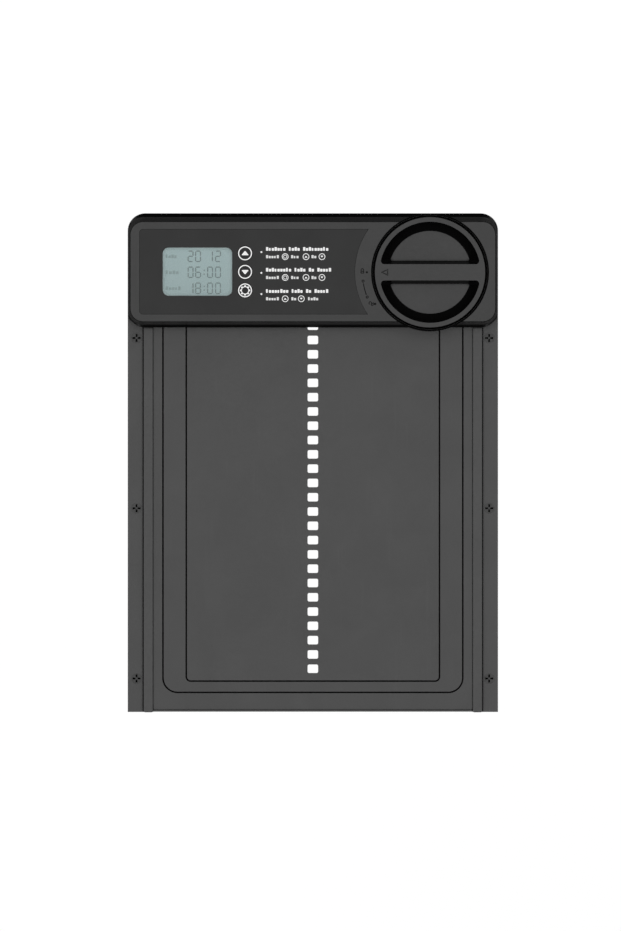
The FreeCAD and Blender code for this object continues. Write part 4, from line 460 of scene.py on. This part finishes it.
def display_glass():
    """Reflective liquid-crystal panel: grey-green front, with the ledge round it and the back dark."""
    mat = Recipe("liquid_crystal_panel")
    low, high = box_mm("lcd_module")
    middle = (low + high) / 2
    front = mat.span(mat.axis("Y"), low.y + 0.4, low.y + 0.2)
    film = mat.noise(0.22, 2)
    shade = mat.noise(18, 3)
    # painted light: mask from the bottom to the top of the panel
    top_light_gradient = mat.span(mat.axis("Z"), middle.z - 20, middle.z + 20)
    teal = mat.mix(shade, (0.47, 0.620, 0.630), (0.51, 0.660, 0.670))
    teal = mat.darkened(teal, mat.span(film, 0.3, 0.7, 0.97, 1.03))
    # painted light: the panel lighter towards the top, darker towards the bottom
    teal = mat.darkened(teal, mat.span(top_light_gradient, 0, 1, 0.96, 1.03))
    colour = mat.mix(front, grey(0.05), teal)
    mat.raise_by(film, 0.004)
    return mat.done(mat.surface(colour, mat.span(film, 0.3, 0.7, 0.30, 0.42), specular=0.35))


def clear_lens():
    """Clear acrylic window: see-through, with a soft gloss and a few wipe marks."""
    mat = Recipe("acrylic_window")
    wipes = mat.noise(3.5, 4, mat.stretched((0.35, 1, 1)))
    mat.raise_by(mat.noise(14, 2), 0.01)
    clear = mat.node("ShaderNodeBsdfTransparent")
    mat.feed(clear.inputs["Color"], mat.mix(wipes, (0.965, 0.975, 0.972), (0.985, 0.99, 0.988)))
    gloss = mat.node("ShaderNodeBsdfGlossy")
    mat.feed(gloss.inputs["Roughness"], mat.span(wipes, 0.35, 0.7, 0.04, 0.12))
    mat.feed(gloss.inputs["Normal"], mat.relief)
    share = mat.node("ShaderNodeFresnel")
    share.inputs["IOR"].default_value = 1.38
    outside = mat.maths("SUBTRACT", 1.0, mat.node("ShaderNodeNewGeometry").outputs["Backfacing"])
    both = mat.node("ShaderNodeMixShader")
    mat.feed(both.inputs[0], mat.maths("MULTIPLY", share.outputs[0], outside))
    mat.feed(both.inputs[1], clear.outputs[0])
    mat.feed(both.inputs[2], gloss.outputs[0])
    return mat.done(both.outputs[0])


# ---- materials: print -----------------------------------------------------------------------

def ink(name, colour, painted_glow=0.0, gloss=0.4):
    """Screen-printed ink: a faint mesh pattern and uneven cover. A painted glow, where given, makes the
    ink give off light though it is no lamp.
    """
    mat = Recipe(name)
    mesh = mat.cells(0.11)
    cover = mat.noise(0.8, 3)
    shade = mat.darkened(colour, mat.span(cover, 0.3, 0.7, 0.93, 1.0))
    mat.raise_by(mesh, 0.004)
    extra = {"Emission Color": colour, "Emission Strength": painted_glow} if painted_glow else {}
    return mat.done(mat.surface(shade, mat.span(mesh, 0.1, 0.6, 0.42, 0.55), specular=gloss, **extra))


SLOTS = {maker.__name__: maker for maker in (
    coated_sheet, coated_leaf, strip_plastic, bearing_plastic, black_screw, zinc_screw, housing_plastic,
    label_film, clear_lens, display_glass, inner_plastic, circuit_board, chip_plastic, key_plastic,
    cap_plastic, seal_rubber, cell_jacket, plated_spring, gear_plastic, shaft_steel, bush_bronze,
    motor_steel, wire_jacket)}
FINISH = {name: maker() for name, maker in SLOTS.items()}
# The white inks glow: painted light that lifts them brighter than the lamps alone would.
WHITE_INK = ink("white_ink", (0.88, 0.88, 0.88), 0.42)
SOFT_WHITE_INK = ink("soft_white_ink", (0.80, 0.80, 0.80), 0.30)
DARK_INK = ink("dark_ink", (0.006, 0.006, 0.006), gloss=0.10)
SEGMENT_INK = ink("display_segments", (0.24, 0.325, 0.33))
CAPTION_INK = ink("display_captions", (0.36, 0.48, 0.485))
BORDER_INK = ink("display_border", (0.60, 0.76, 0.765))

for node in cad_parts.values():
    for place in node.material_slots:
        place.material = FINISH[place.material.name.split(".")[0]]


# ---- flat shapes on the front ---------------------------------------------------------------

def arc(x, z, radius, start, end, steps=24):
    """Points along an arc, angles in degrees from +x towards +z."""
    turns = [math.radians(start + (end - start) * step / steps) for step in range(steps + 1)]
    return [(x + radius * math.cos(turn), z + radius * math.sin(turn)) for turn in turns]


def disc(x, z, radius, steps=36):
    """Points round a circle, the first one not repeated."""
    return arc(x, z, radius, 0, 360, steps)[:-1]


def panel(x0, z0, x1, z1, corner=0.2):
    """Rectangle with rounded corners."""
    points = []
    for x, z, start in ((x1 - corner, z1 - corner, 0), (x0 + corner, z1 - corner, 90),
                        (x0 + corner, z0 + corner, 180), (x1 - corner, z0 + corner, 270)):
        points += arc(x, z, corner, start, start + 90, 4)
    return points


def softened(points, cut=0.5, steps=4):
    """The outline with each corner rounded, starting cut millimetres from it."""
    rounded = []
    for index, point in enumerate(points):
        corner = Vector(point)
        before = corner + (Vector(points[index - 1]) - corner).normalized() * cut
        after = corner + (Vector(points[(index + 1) % len(points)]) - corner).normalized() * cut
        for step in range(steps + 1):
            share = step / steps
            spot = before.lerp(corner, share).lerp(corner.lerp(after, share), share)
            rounded.append((spot.x, spot.y))
    return rounded


def placed(points, x, z, turn=0.0):
    """Points turned by an angle in degrees, then moved."""
    cos, sin = math.cos(math.radians(turn)), math.sin(math.radians(turn))
    return [(x + px * cos - pz * sin, z + px * sin + pz * cos) for px, pz in points]


INK_SUNK = 0.02                    # how far the back of a print lies inside the surface


class Print:
    """Thin closed shapes that stand on a flat surface facing the front, joined in one mesh."""

    def __init__(self, name, surface, thick=0.05):
        self.name = name
        self.mesh = bmesh.new()
        self.layers = (surface - thick, surface + INK_SUNK)

    def loop(self, points, y):
        """New vertices at the points, at depth y."""
        return [self.mesh.verts.new((x * MM, y * MM, z * MM)) for x, z in points]

    def wall(self, first, second):
        """Faces between two closed loops."""
        for index in range(len(first)):
            after = (index + 1) % len(first)
            self.mesh.faces.new((first[index], first[after], second[after], second[index]))

    def shape(self, points):
        """Filled outline."""
        front, back = (self.loop(points, y) for y in self.layers)
        self.mesh.faces.new(front)
        self.mesh.faces.new(back)
        self.wall(front, back)

    def ring(self, outer, inner):
        """Band between two outlines of as many points each."""
        loops = [[self.loop(points, y) for points in (outer, inner)] for y in self.layers]
        (outer_front, inner_front), (outer_back, inner_back) = loops
        self.wall(outer_front, inner_front)
        self.wall(outer_back, inner_back)
        self.wall(outer_front, outer_back)
        self.wall(inner_front, inner_back)

    def circle(self, x, z, radius, line):
        """Ring whose outer radius and line width are given."""
        self.ring(disc(x, z, radius), disc(x, z, radius - line))

    def stroke(self, x, z, radius, start, end, line):
        """Curved line of even width."""
        self.shape(arc(x, z, radius + line / 2, start, end) + arc(x, z, radius - line / 2, end, start))

    def made(self, material, body, slot):
        return finished(self.name, self.mesh, material, body)


def finished(name, mesh, material, body, smooth=False):
    """Turns the mesh under construction into a piece that rides on a body."""
    bmesh.ops.recalc_face_normals(mesh, faces=mesh.faces)
    data = bpy.data.meshes.new(name)
    mesh.to_mesh(data)
    mesh.free()
    data.materials.append(material)
    if smooth:
        data.shade_smooth()
    piece = bpy.data.objects.new(name, data)
    bpy.context.scene.collection.objects.link(piece)
    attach(piece, body)
    return piece


# ---- printed label --------------------------------------------------------------------------

LABEL_LEFT = -37.6                 # left edge of the instruction text
ROW_HEIGHTS = (208.05, 191.35, 174.3)
LETTER_PITCH = 2.29
HEADING_TALL = 2.9
NOTE_TALL = 2.5
NOTE_DROP = 6.2
BULLET_LEFT = 3.7
BULLET_DROP = 2.5
BULLET_RADIUS = 0.75
MARK_RADIUS = 2.65
MARK_LINE = 0.55
LOW_BLOCK = 0.74                   # height of a block without a riser, as a share of the tall ones
BLOCK_CORNER = 0.22


def words(sheet, x, z, lengths, pitch, tall):
    """Greeked text: for each word a row of small blocks, some with a riser, none a letter."""
    for count in lengths:
        for index in range(count):
            high = tall if (index == 0 or (index * 7 + count) % 5 == 3) else tall * LOW_BLOCK
            wide = pitch * (0.80 if (index + count) % 4 else 0.62)
            sheet.shape(panel(x, z - tall / 2, x + wide, z - tall / 2 + high, BLOCK_CORNER))
            x += pitch
        x += pitch


def arrow_head(x, z, size, up):
    """Filled triangle that points up or down."""
    rise = size * 0.62 * (1 if up else -1)
    base = z - rise / 2
    return softened([(x - size / 2, base), (x + size / 2, base), (x, z + rise / 2)], size * 0.14)


def ringed_mark(sheet, x, z, radius, mark, line):
    """Small copy of a key's legend."""
    sheet.circle(x, z, radius, line)
    if mark == "set":
        sheet.circle(x, z, radius * 0.56, line * 0.8)
    else:
        sheet.shape(arrow_head(x, z, radius * 0.95, mark == "up"))


def label_print():
    surface = box_mm("label_panel")[0].y
    headings = Print("label_headings", surface)
    notes = Print("label_notes", surface)
    marks = Print("label_key_marks", surface)
    # For each row: letters in each word of the heading, then where the note's words and marks start.
    heading_words = ((7, 4, 9), (9, 4, 2, 5), (8, 4, 2, 5))
    three_words = ((0, 5), (20.1, 3), (36.5, 2))
    three_marks = ((15.4, "set"), (32.1, "up"), (44.9, "down"))
    note_words = (three_words, three_words, ((0, 5), (20.3, 2), (33.7, 4)))
    note_marks = (three_marks, three_marks, ((15.4, "up"), (28.3, "down")))
    for z, heading, note, mark in zip(ROW_HEIGHTS, heading_words, note_words, note_marks):
        headings.shape(disc(LABEL_LEFT - BULLET_LEFT, z - BULLET_DROP, BULLET_RADIUS, 20))
        words(headings, LABEL_LEFT, z, heading, LETTER_PITCH, HEADING_TALL)
        for offset, count in note:
            words(notes, LABEL_LEFT + offset, z - NOTE_DROP, (count,), LETTER_PITCH * 0.94, NOTE_TALL)
        for offset, kind in mark:
            ringed_mark(marks, LABEL_LEFT + offset, z - NOTE_DROP, MARK_RADIUS, kind, MARK_LINE)
    headings.made(WHITE_INK, "frame", "label_film")
    notes.made(SOFT_WHITE_INK, "frame", "label_film")
    marks.made(WHITE_INK, "frame", "label_film")


def gear_outline(x, z, inner, outer, teeth):
    """Outline with blunt teeth all round."""
    points = []
    step = 360 / teeth
    for tooth in range(teeth):
        middle = step * tooth
        points += arc(x, z, outer, middle - step * 0.2, middle + step * 0.2, 3)
        points += arc(x, z, inner, middle + step * 0.3, middle + step * 0.7, 3)
    return points


LEGEND_THICK = 0.04
LEGEND_RADIUS = 5.6
LEGEND_LINE = 0.86
GEAR_ROOT = 3.25
GEAR_TIP = 4.15
GEAR_BORE = 2.6
GEAR_TEETH = 8
ARROW_SIZE = 6.0
ARROW_LIFT = 0.35


def key_legends():
    """White ring on each key, with an arrow up, an arrow down or a gear wheel in it."""
    for kind in ("up", "down", "set"):
        key = "key_" + kind
        low, high = box_mm(key)
        x, z = (low.x + high.x) / 2, (low.z + high.z) / 2
        legend = Print(key + "_legend", low.y, LEGEND_THICK)
        legend.circle(x, z, LEGEND_RADIUS, LEGEND_LINE)
        if kind == "set":
            outer = gear_outline(x, z, GEAR_ROOT, GEAR_TIP, GEAR_TEETH)
            around = [math.degrees(math.atan2(pz - z, px - x)) for px, pz in outer]
            inner = [arc(x, z, GEAR_BORE, turn, turn, 1)[0] for turn in around]
            legend.ring(outer, inner)
        else:
            lift = ARROW_LIFT if kind == "up" else -ARROW_LIFT
            legend.shape(arrow_head(x, z + lift, ARROW_SIZE, kind == "up"))
        legend.made(WHITE_INK, kind + "_key", "key_plastic")


# ---- display --------------------------------------------------------------------------------

WINDOW_WIDE = 55.8
WINDOW_TALL = 38.7
TOP_MARGIN = 2.4
ROW_PITCH = 12.8
DIGIT_COLUMNS = (20.0, 26.0, 35.6, 42.0)
DIGIT_WIDE = 4.8
DIGIT_TALL = 9.3
SEGMENT = 0.95                     # width of a segment
SEGMENT_GAP = 0.16
COLON_LEFT = 32.8
COLON_DROPS = (3.2, 6.2)
COLON_SIZE = 1.0
CAPTION_LEFT = 2.4
CAPTION_TALL = 2.9
CAPTIONS = ((4, 2.3), (4, 2.75), (5, 2.5))     # letters and letter pitch of each row's caption
BORDER_OVER = 0.4                  # how far the border starts outside the window
BORDER_LINE = 1.3
BORDER_CORNER = 5.0
BORDER_INNER_CORNER = 4.0
LIT = {"0": "abcdef", "1": "bc", "2": "abdeg", "6": "acdefg", "8": "abcdefg"}


def bar(x0, z0, x1, z1):
    """Six-sided display segment from one end to the other."""
    along = Vector((x1 - x0, z1 - z0)).normalized()
    side = Vector((-along.y, along.x)) * SEGMENT / 2
    nose = along * SEGMENT / 2
    start, end = Vector((x0, z0)), Vector((x1, z1))
    spots = (start, start + nose + side, end - nose + side, end, end - nose - side, start + nose - side)
    return [(spot.x, spot.y) for spot in spots]


def digit(sheet, x, z, figure):
    """Seven-segment figure whose cell's top left corner is x, z."""
    inset, gap = SEGMENT / 2, SEGMENT_GAP
    left, right = x + inset, x + DIGIT_WIDE - inset
    levels = (z - inset, z - DIGIT_TALL / 2, z - DIGIT_TALL + inset)
    flats = {"a": levels[0], "g": levels[1], "d": levels[2]}
    uprights = {"f": (left, 0), "b": (right, 0), "e": (left, 1), "c": (right, 1)}
    for name in LIT[figure]:
        if name in flats:
            sheet.shape(bar(left + gap, flats[name], right - gap, flats[name]))
        else:
            place, half = uprights[name]
            sheet.shape(bar(place, levels[half] - gap, place, levels[half + 1] + gap))


def display():
    """Three rows of digits with greeked captions, and a light border along the window's edge."""
    middle = centre_mm("lcd_window")
    left, top = middle.x - WINDOW_WIDE / 2, middle.z + WINDOW_TALL / 2
    surface = box_mm("lcd_module")[0].y
    figures = Print("display_figures", surface, 0.04)
    rows = [top - TOP_MARGIN - ROW_PITCH * row for row in range(3)]
    for row, text in enumerate(("2012", "0600", "1800")):
        for column, figure in zip(DIGIT_COLUMNS, text):
            digit(figures, left + column, rows[row], figure)
        if row:
            for drop in COLON_DROPS:
                x, z = left + COLON_LEFT, rows[row] - drop
                figures.shape(panel(x, z - COLON_SIZE / 2, x + COLON_SIZE, z + COLON_SIZE / 2))
    figures.made(SEGMENT_INK, "frame", "display_glass")
    captions = Print("display_row_captions", surface, 0.04)
    for z, (count, pitch) in zip(rows, CAPTIONS):
        words(captions, left + CAPTION_LEFT, z - DIGIT_TALL / 2, (count,), pitch, CAPTION_TALL)
    captions.made(CAPTION_INK, "frame", "display_glass")
    border = Print("display_border", surface, 0.03)
    wide, tall = WINDOW_WIDE / 2 + BORDER_OVER, WINDOW_TALL / 2 + BORDER_OVER
    edges = []
    for inset, corner in ((0.0, BORDER_CORNER), (BORDER_LINE, BORDER_INNER_CORNER)):
        edges.append(panel(middle.x - wide + inset, middle.z - tall + inset,
                           middle.x + wide - inset, middle.z + tall - inset, corner))
    border.ring(*edges)
    border.made(BORDER_INK, "frame", "display_glass")


# ---- lock marks beside the cap --------------------------------------------------------------

COLLAR_TALL = 1.4                  # how far the cap's collar stands before the face with the marks
LOCKED_PLACE = (-54.3, 1.0, 0)     # x and z from the cap's middle, and turn in degrees
OPEN_PLACE = (-46.4, -24.8, 28)
DOT_TURNS = (180, 210)
DOT_PATH = 50.7                    # radius about the cap's middle
DOT_RADIUS = 0.85
ARC_PATH = 54.2
ARC_TURNS = (189.5, 199.5)
ARC_LINE = 0.7
RING_TURNS = (187.5, 201.5)
RING_RADIUS = 1.15
RING_LINE = 0.6
SHACKLE_RADIUS = 1.3
SHACKLE_INNER = 0.7
SHACKLE_FOOT = 0.1
SHACKLE_RISE = 0.9


def padlock(sheet, x, z, turn, opened):
    """Small padlock, its shackle moved aside where it is open."""
    body = placed(panel(-1.4, -1.9, 1.4, SHACKLE_FOOT, 0.3), x, z, turn)
    inside = placed(panel(-0.8, -1.3, 0.8, -0.5, 0.2), x, z, turn)
    sheet.ring(body, inside)
    shift = -SHACKLE_RADIUS if opened else 0.0
    shackle = arc(shift, SHACKLE_RISE, SHACKLE_RADIUS, 0, 180, 12)
    shackle += [(shift - SHACKLE_RADIUS, SHACKLE_FOOT), (shift - SHACKLE_INNER, SHACKLE_FOOT)]
    shackle += arc(shift, SHACKLE_RISE, SHACKLE_INNER, 180, 0, 12)
    shackle += [(shift + SHACKLE_INNER, SHACKLE_FOOT), (shift + SHACKLE_RADIUS, SHACKLE_FOOT)]
    sheet.shape(placed(shackle, x, z, turn))


def lock_marks():
    """Closed and open padlock with the arc of the cap's turn between them."""
    cap = centre_mm("battery_cap")
    surface = box_mm("housing_front")[0].y + COLLAR_TALL
    marks = Print("lock_marks", surface)
    for (x, z, turn), opened in ((LOCKED_PLACE, False), (OPEN_PLACE, True)):
        padlock(marks, cap.x + x, cap.z + z, turn, opened)
    for turn in DOT_TURNS:
        marks.shape(disc(*arc(cap.x, cap.z, DOT_PATH, turn, turn, 1)[0], DOT_RADIUS, 20))
    marks.stroke(cap.x, cap.z, ARC_PATH, *ARC_TURNS, ARC_LINE)
    for turn in RING_TURNS:
        marks.circle(*arc(cap.x, cap.z, ARC_PATH, turn, turn, 1)[0], RING_RADIUS, RING_LINE)
    marks.made(DARK_INK, "frame", "housing_plastic")


# ---- wall screws ----------------------------------------------------------------------------

HEAD_RADIUS = 4.3
HEAD_RIM = 0.3                     # straight rim of the head
HEAD_DEEP = 2.3
NECK_RADIUS = 1.7
NECK_FLARE = 0.25
THREAD_RADIUS = 2.0
THREAD_ROOT = 1.45
THREAD_PITCH = 1.4
THREAD_STEPS = 120
CREST_SHARE = 0.28                 # half the crest's foot, as a share of the pitch
TIP_TAPER = 3.5
TIP_BLUNT = 0.4
PETAL_START = 0.95
PETAL_END = 3.15
PETAL_HALF_WIDTH = 0.62
PETAL_SLOPE = 0.22
PETAL_DEEP = 1.8
HEAD_STEPS = 30
AROUND = 64                        # points round a turned shape


def recess_depth(radius, turn):
    """Depth of the cross recess: four petals round a middle that is almost level with the head."""
    reach = max(abs(math.cos(turn)), abs(math.sin(turn))) * radius
    aside = min(abs(math.cos(turn)), abs(math.sin(turn))) * radius
    inside = (PETAL_HALF_WIDTH - aside, reach - PETAL_START, PETAL_END - reach)
    return PETAL_DEEP * max(0.0, min(1.0, min(inside) / PETAL_SLOPE))


def thread_radius(y, share, tip):
    """Radius of the thread at depth y and a share of a turn, tapered to the neck and the tip."""
    phase = (y / THREAD_PITCH + share) % 1.0
    crest = max(0.0, 1 - abs(phase - 0.5) / CREST_SHARE)
    taper = min(1.0, (tip - y) / TIP_TAPER) * min(1.0, 0.85 + y / 4)
    return (THREAD_ROOT + (THREAD_RADIUS - THREAD_ROOT) * crest) * taper


def turned(radius, y):
    """Ring of points round the y axis; radius and y are numbers or functions of the angle."""
    ring = []
    for index in range(AROUND):
        turn = 2 * math.pi * index / AROUND
        reach = radius(turn) if callable(radius) else radius
        ring.append((reach * math.cos(turn), y(turn) if callable(y) else y, reach * math.sin(turn)))
    return ring


def joined(mesh, rings):
    """Faces between neighbouring rings of vertices."""
    for first, second in zip(rings, rings[1:]):
        for index in range(AROUND):
            after = (index + 1) % AROUND
            mesh.faces.new((first[index], first[after], second[after], second[index]))


def wall_screw(mesh, x, z, front, tip):
    """One screw: recessed countersunk head, plain neck and a pointed coarse thread."""
    rings = []
    for step in range(1, HEAD_STEPS + 1):
        radius = HEAD_RADIUS * step / HEAD_STEPS
        rings.append(turned(radius, lambda turn: front + recess_depth(radius, turn)))
    rings.append(turned(HEAD_RADIUS, front + HEAD_RIM))
    rings.append(turned(NECK_RADIUS + NECK_FLARE, front + HEAD_DEEP))
    rings.append(turned(NECK_RADIUS, 0.0))
    for step in range(1, THREAD_STEPS + 1):
        y = (tip - TIP_BLUNT) * step / THREAD_STEPS
        rings.append(turned(lambda turn: thread_radius(y, turn / (2 * math.pi), tip), y))
    made = []
    for ring in rings:
        made.append([mesh.verts.new(((x + px) * MM, py * MM, (z + pz) * MM)) for px, py, pz in ring])
    joined(mesh, made)
    for ring, y in ((made[0], front), (made[-1], tip)):
        centre = mesh.verts.new((x * MM, y * MM, z * MM))
        for index in range(AROUND):
            mesh.faces.new((ring[index], ring[(index + 1) % AROUND], centre))


def wall_screws():
    """The six threaded screws, in the places of the plain CAD ones."""
    low, high = box_mm("wall_screws")
    mesh = bmesh.new()
    for x in (low.x + HEAD_RADIUS, high.x - HEAD_RADIUS):
        for z in (low.z + HEAD_RADIUS, (low.z + high.z) / 2, high.z - HEAD_RADIUS):
            wall_screw(mesh, x, z, low.y, high.y)
    piece = finished("threaded_wall_screws", mesh, FINISH["black_screw"], "frame",
                     smooth=True)
    piece.data.set_sharp_from_angle(angle=math.radians(38))
    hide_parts("wall_screws")


label_print()
key_legends()
display()
lock_marks()
wall_screws()


# ---- room, light and camera -----------------------------------------------------------------

ROOM_PROFILE = ((7.0, -2.6), (8.5, -2.35), (9.5, -1.6), (10.0, -0.6), (10.2, 1.0), (10.0, 3.5),
                (9.0, 6.5), (7.0, 8.6), (4.0, 9.8))      # radius and height in metres, floor to ceiling


def studio():
    """Closed pale room: a floor that curves up into walls and a ceiling, out of the object's light."""
    mesh = bmesh.new()
    rings = []
    for radius, height in ROOM_PROFILE:
        rings.append([mesh.verts.new((px, py, height)) for px, _, py in turned(radius, 0.0)])
    joined(mesh, rings)
    mesh.faces.new(rings[0])
    mesh.faces.new(rings[-1])
    data = bpy.data.meshes.new("studio_room")
    mesh.to_mesh(data)
    mesh.free()
    room = bpy.data.objects.new("studio_room", data)
    bpy.context.scene.collection.objects.link(room)
    mat = Recipe("pale_room")
    tone = mat.span(mat.noise(900, 2), 0.3, 0.7, 1.0, 1.02)
    lit = mat.node("ShaderNodeEmission")
    lit.inputs["Color"].default_value = (1, 1, 1, 1)
    mat.feed(lit.inputs["Strength"], tone)
    data.materials.append(mat.done(lit.outputs[0]))
    room.visible_diffuse = False
    room.visible_glossy = False
    room.visible_shadow = False


LIGHT_STOPS = ((152, 0.04), (130, 0.06), (123, 0.75), (105, 0.75), (99, 0.05), (66, 0.04), (60, 0.50),
               (22, 0.55), (14, 0.7))      # degrees from straight before the object, and brightness


def surrounding_light():
    """Soft light by direction: bright before the object and in a ring behind it, dark at its sides."""
    world = bpy.data.worlds.new("soft_studio")
    bpy.context.scene.world = world
    world.use_nodes = True
    nodes, links = world.node_tree.nodes, world.node_tree.links
    nodes.clear()
    place = nodes.new("ShaderNodeTexCoord")
    split = nodes.new("ShaderNodeSeparateXYZ")
    links.new(place.outputs["Generated"], split.inputs[0])
    share = nodes.new("ShaderNodeMapRange")
    share.inputs["From Min"].default_value = 1
    share.inputs["From Max"].default_value = -1
    links.new(split.outputs["Y"], share.inputs["Value"])
    ramp = nodes.new("ShaderNodeValToRGB")
    ramp.color_ramp.elements.remove(ramp.color_ramp.elements[1])
    for index, (angle, level) in enumerate(LIGHT_STOPS):
        spot = (1 + math.cos(math.radians(angle))) / 2
        stop = ramp.color_ramp.elements[0] if index == 0 else ramp.color_ramp.elements.new(spot)
        stop.position = spot
        stop.color = (level, level, level, 1)
    links.new(share.outputs[0], ramp.inputs[0])
    light = nodes.new("ShaderNodeBackground")
    links.new(ramp.outputs[0], light.inputs["Color"])
    links.new(light.outputs[0], nodes.new("ShaderNodeOutputWorld").inputs[0])


VIEW_TALL = 0.7469                 # height of the picture at the object, metres
VIEW_CENTRE = Vector((-0.0019, -0.024, 0.0343))
CAMERA_BACK = 8.0
CAMERA_REACH = 60
SOFTBOX_AWAY = 3.5
SOFTBOX_SIZE = 2.2
SOFTBOX_RISE = 0.12
FRONT_RADIANCE = 1.2
REAR_RADIANCE = 2.6


def softbox(name, side, radiance):
    """Large square light, square on to the front (side -1) or the back (side 1)."""
    data = bpy.data.lights.new(name, "AREA")
    data.shape = "SQUARE"
    data.size = SOFTBOX_SIZE
    data.energy = radiance * math.pi * SOFTBOX_SIZE ** 2
    light = bpy.data.objects.new(name, data)
    bpy.context.scene.collection.objects.link(light)
    light.location = VIEW_CENTRE + Vector((0, side * SOFTBOX_AWAY, SOFTBOX_RISE))
    light.rotation_euler = (math.radians(-90 * side), 0, 0)
    light.visible_camera = False
    return light


def camera():
    """Camera square on to the front, without perspective, as in the photograph."""
    data = bpy.data.cameras.new("front_camera")
    data.type = "ORTHO"
    data.ortho_scale = VIEW_TALL
    data.clip_end = CAMERA_REACH
    eye = bpy.data.objects.new("front_camera", data)
    bpy.context.scene.collection.objects.link(eye)
    eye.location = VIEW_CENTRE - Vector((0, CAMERA_BACK, 0))
    eye.rotation_euler = (math.radians(90), 0, 0)
    bpy.context.scene.camera = eye


studio()
surrounding_light()
softbox("front_softbox", -1, FRONT_RADIANCE)
softbox("rear_softbox", 1, REAR_RADIANCE).visible_glossy = False
camera()
bpy.context.scene.view_settings.view_transform = "Standard"
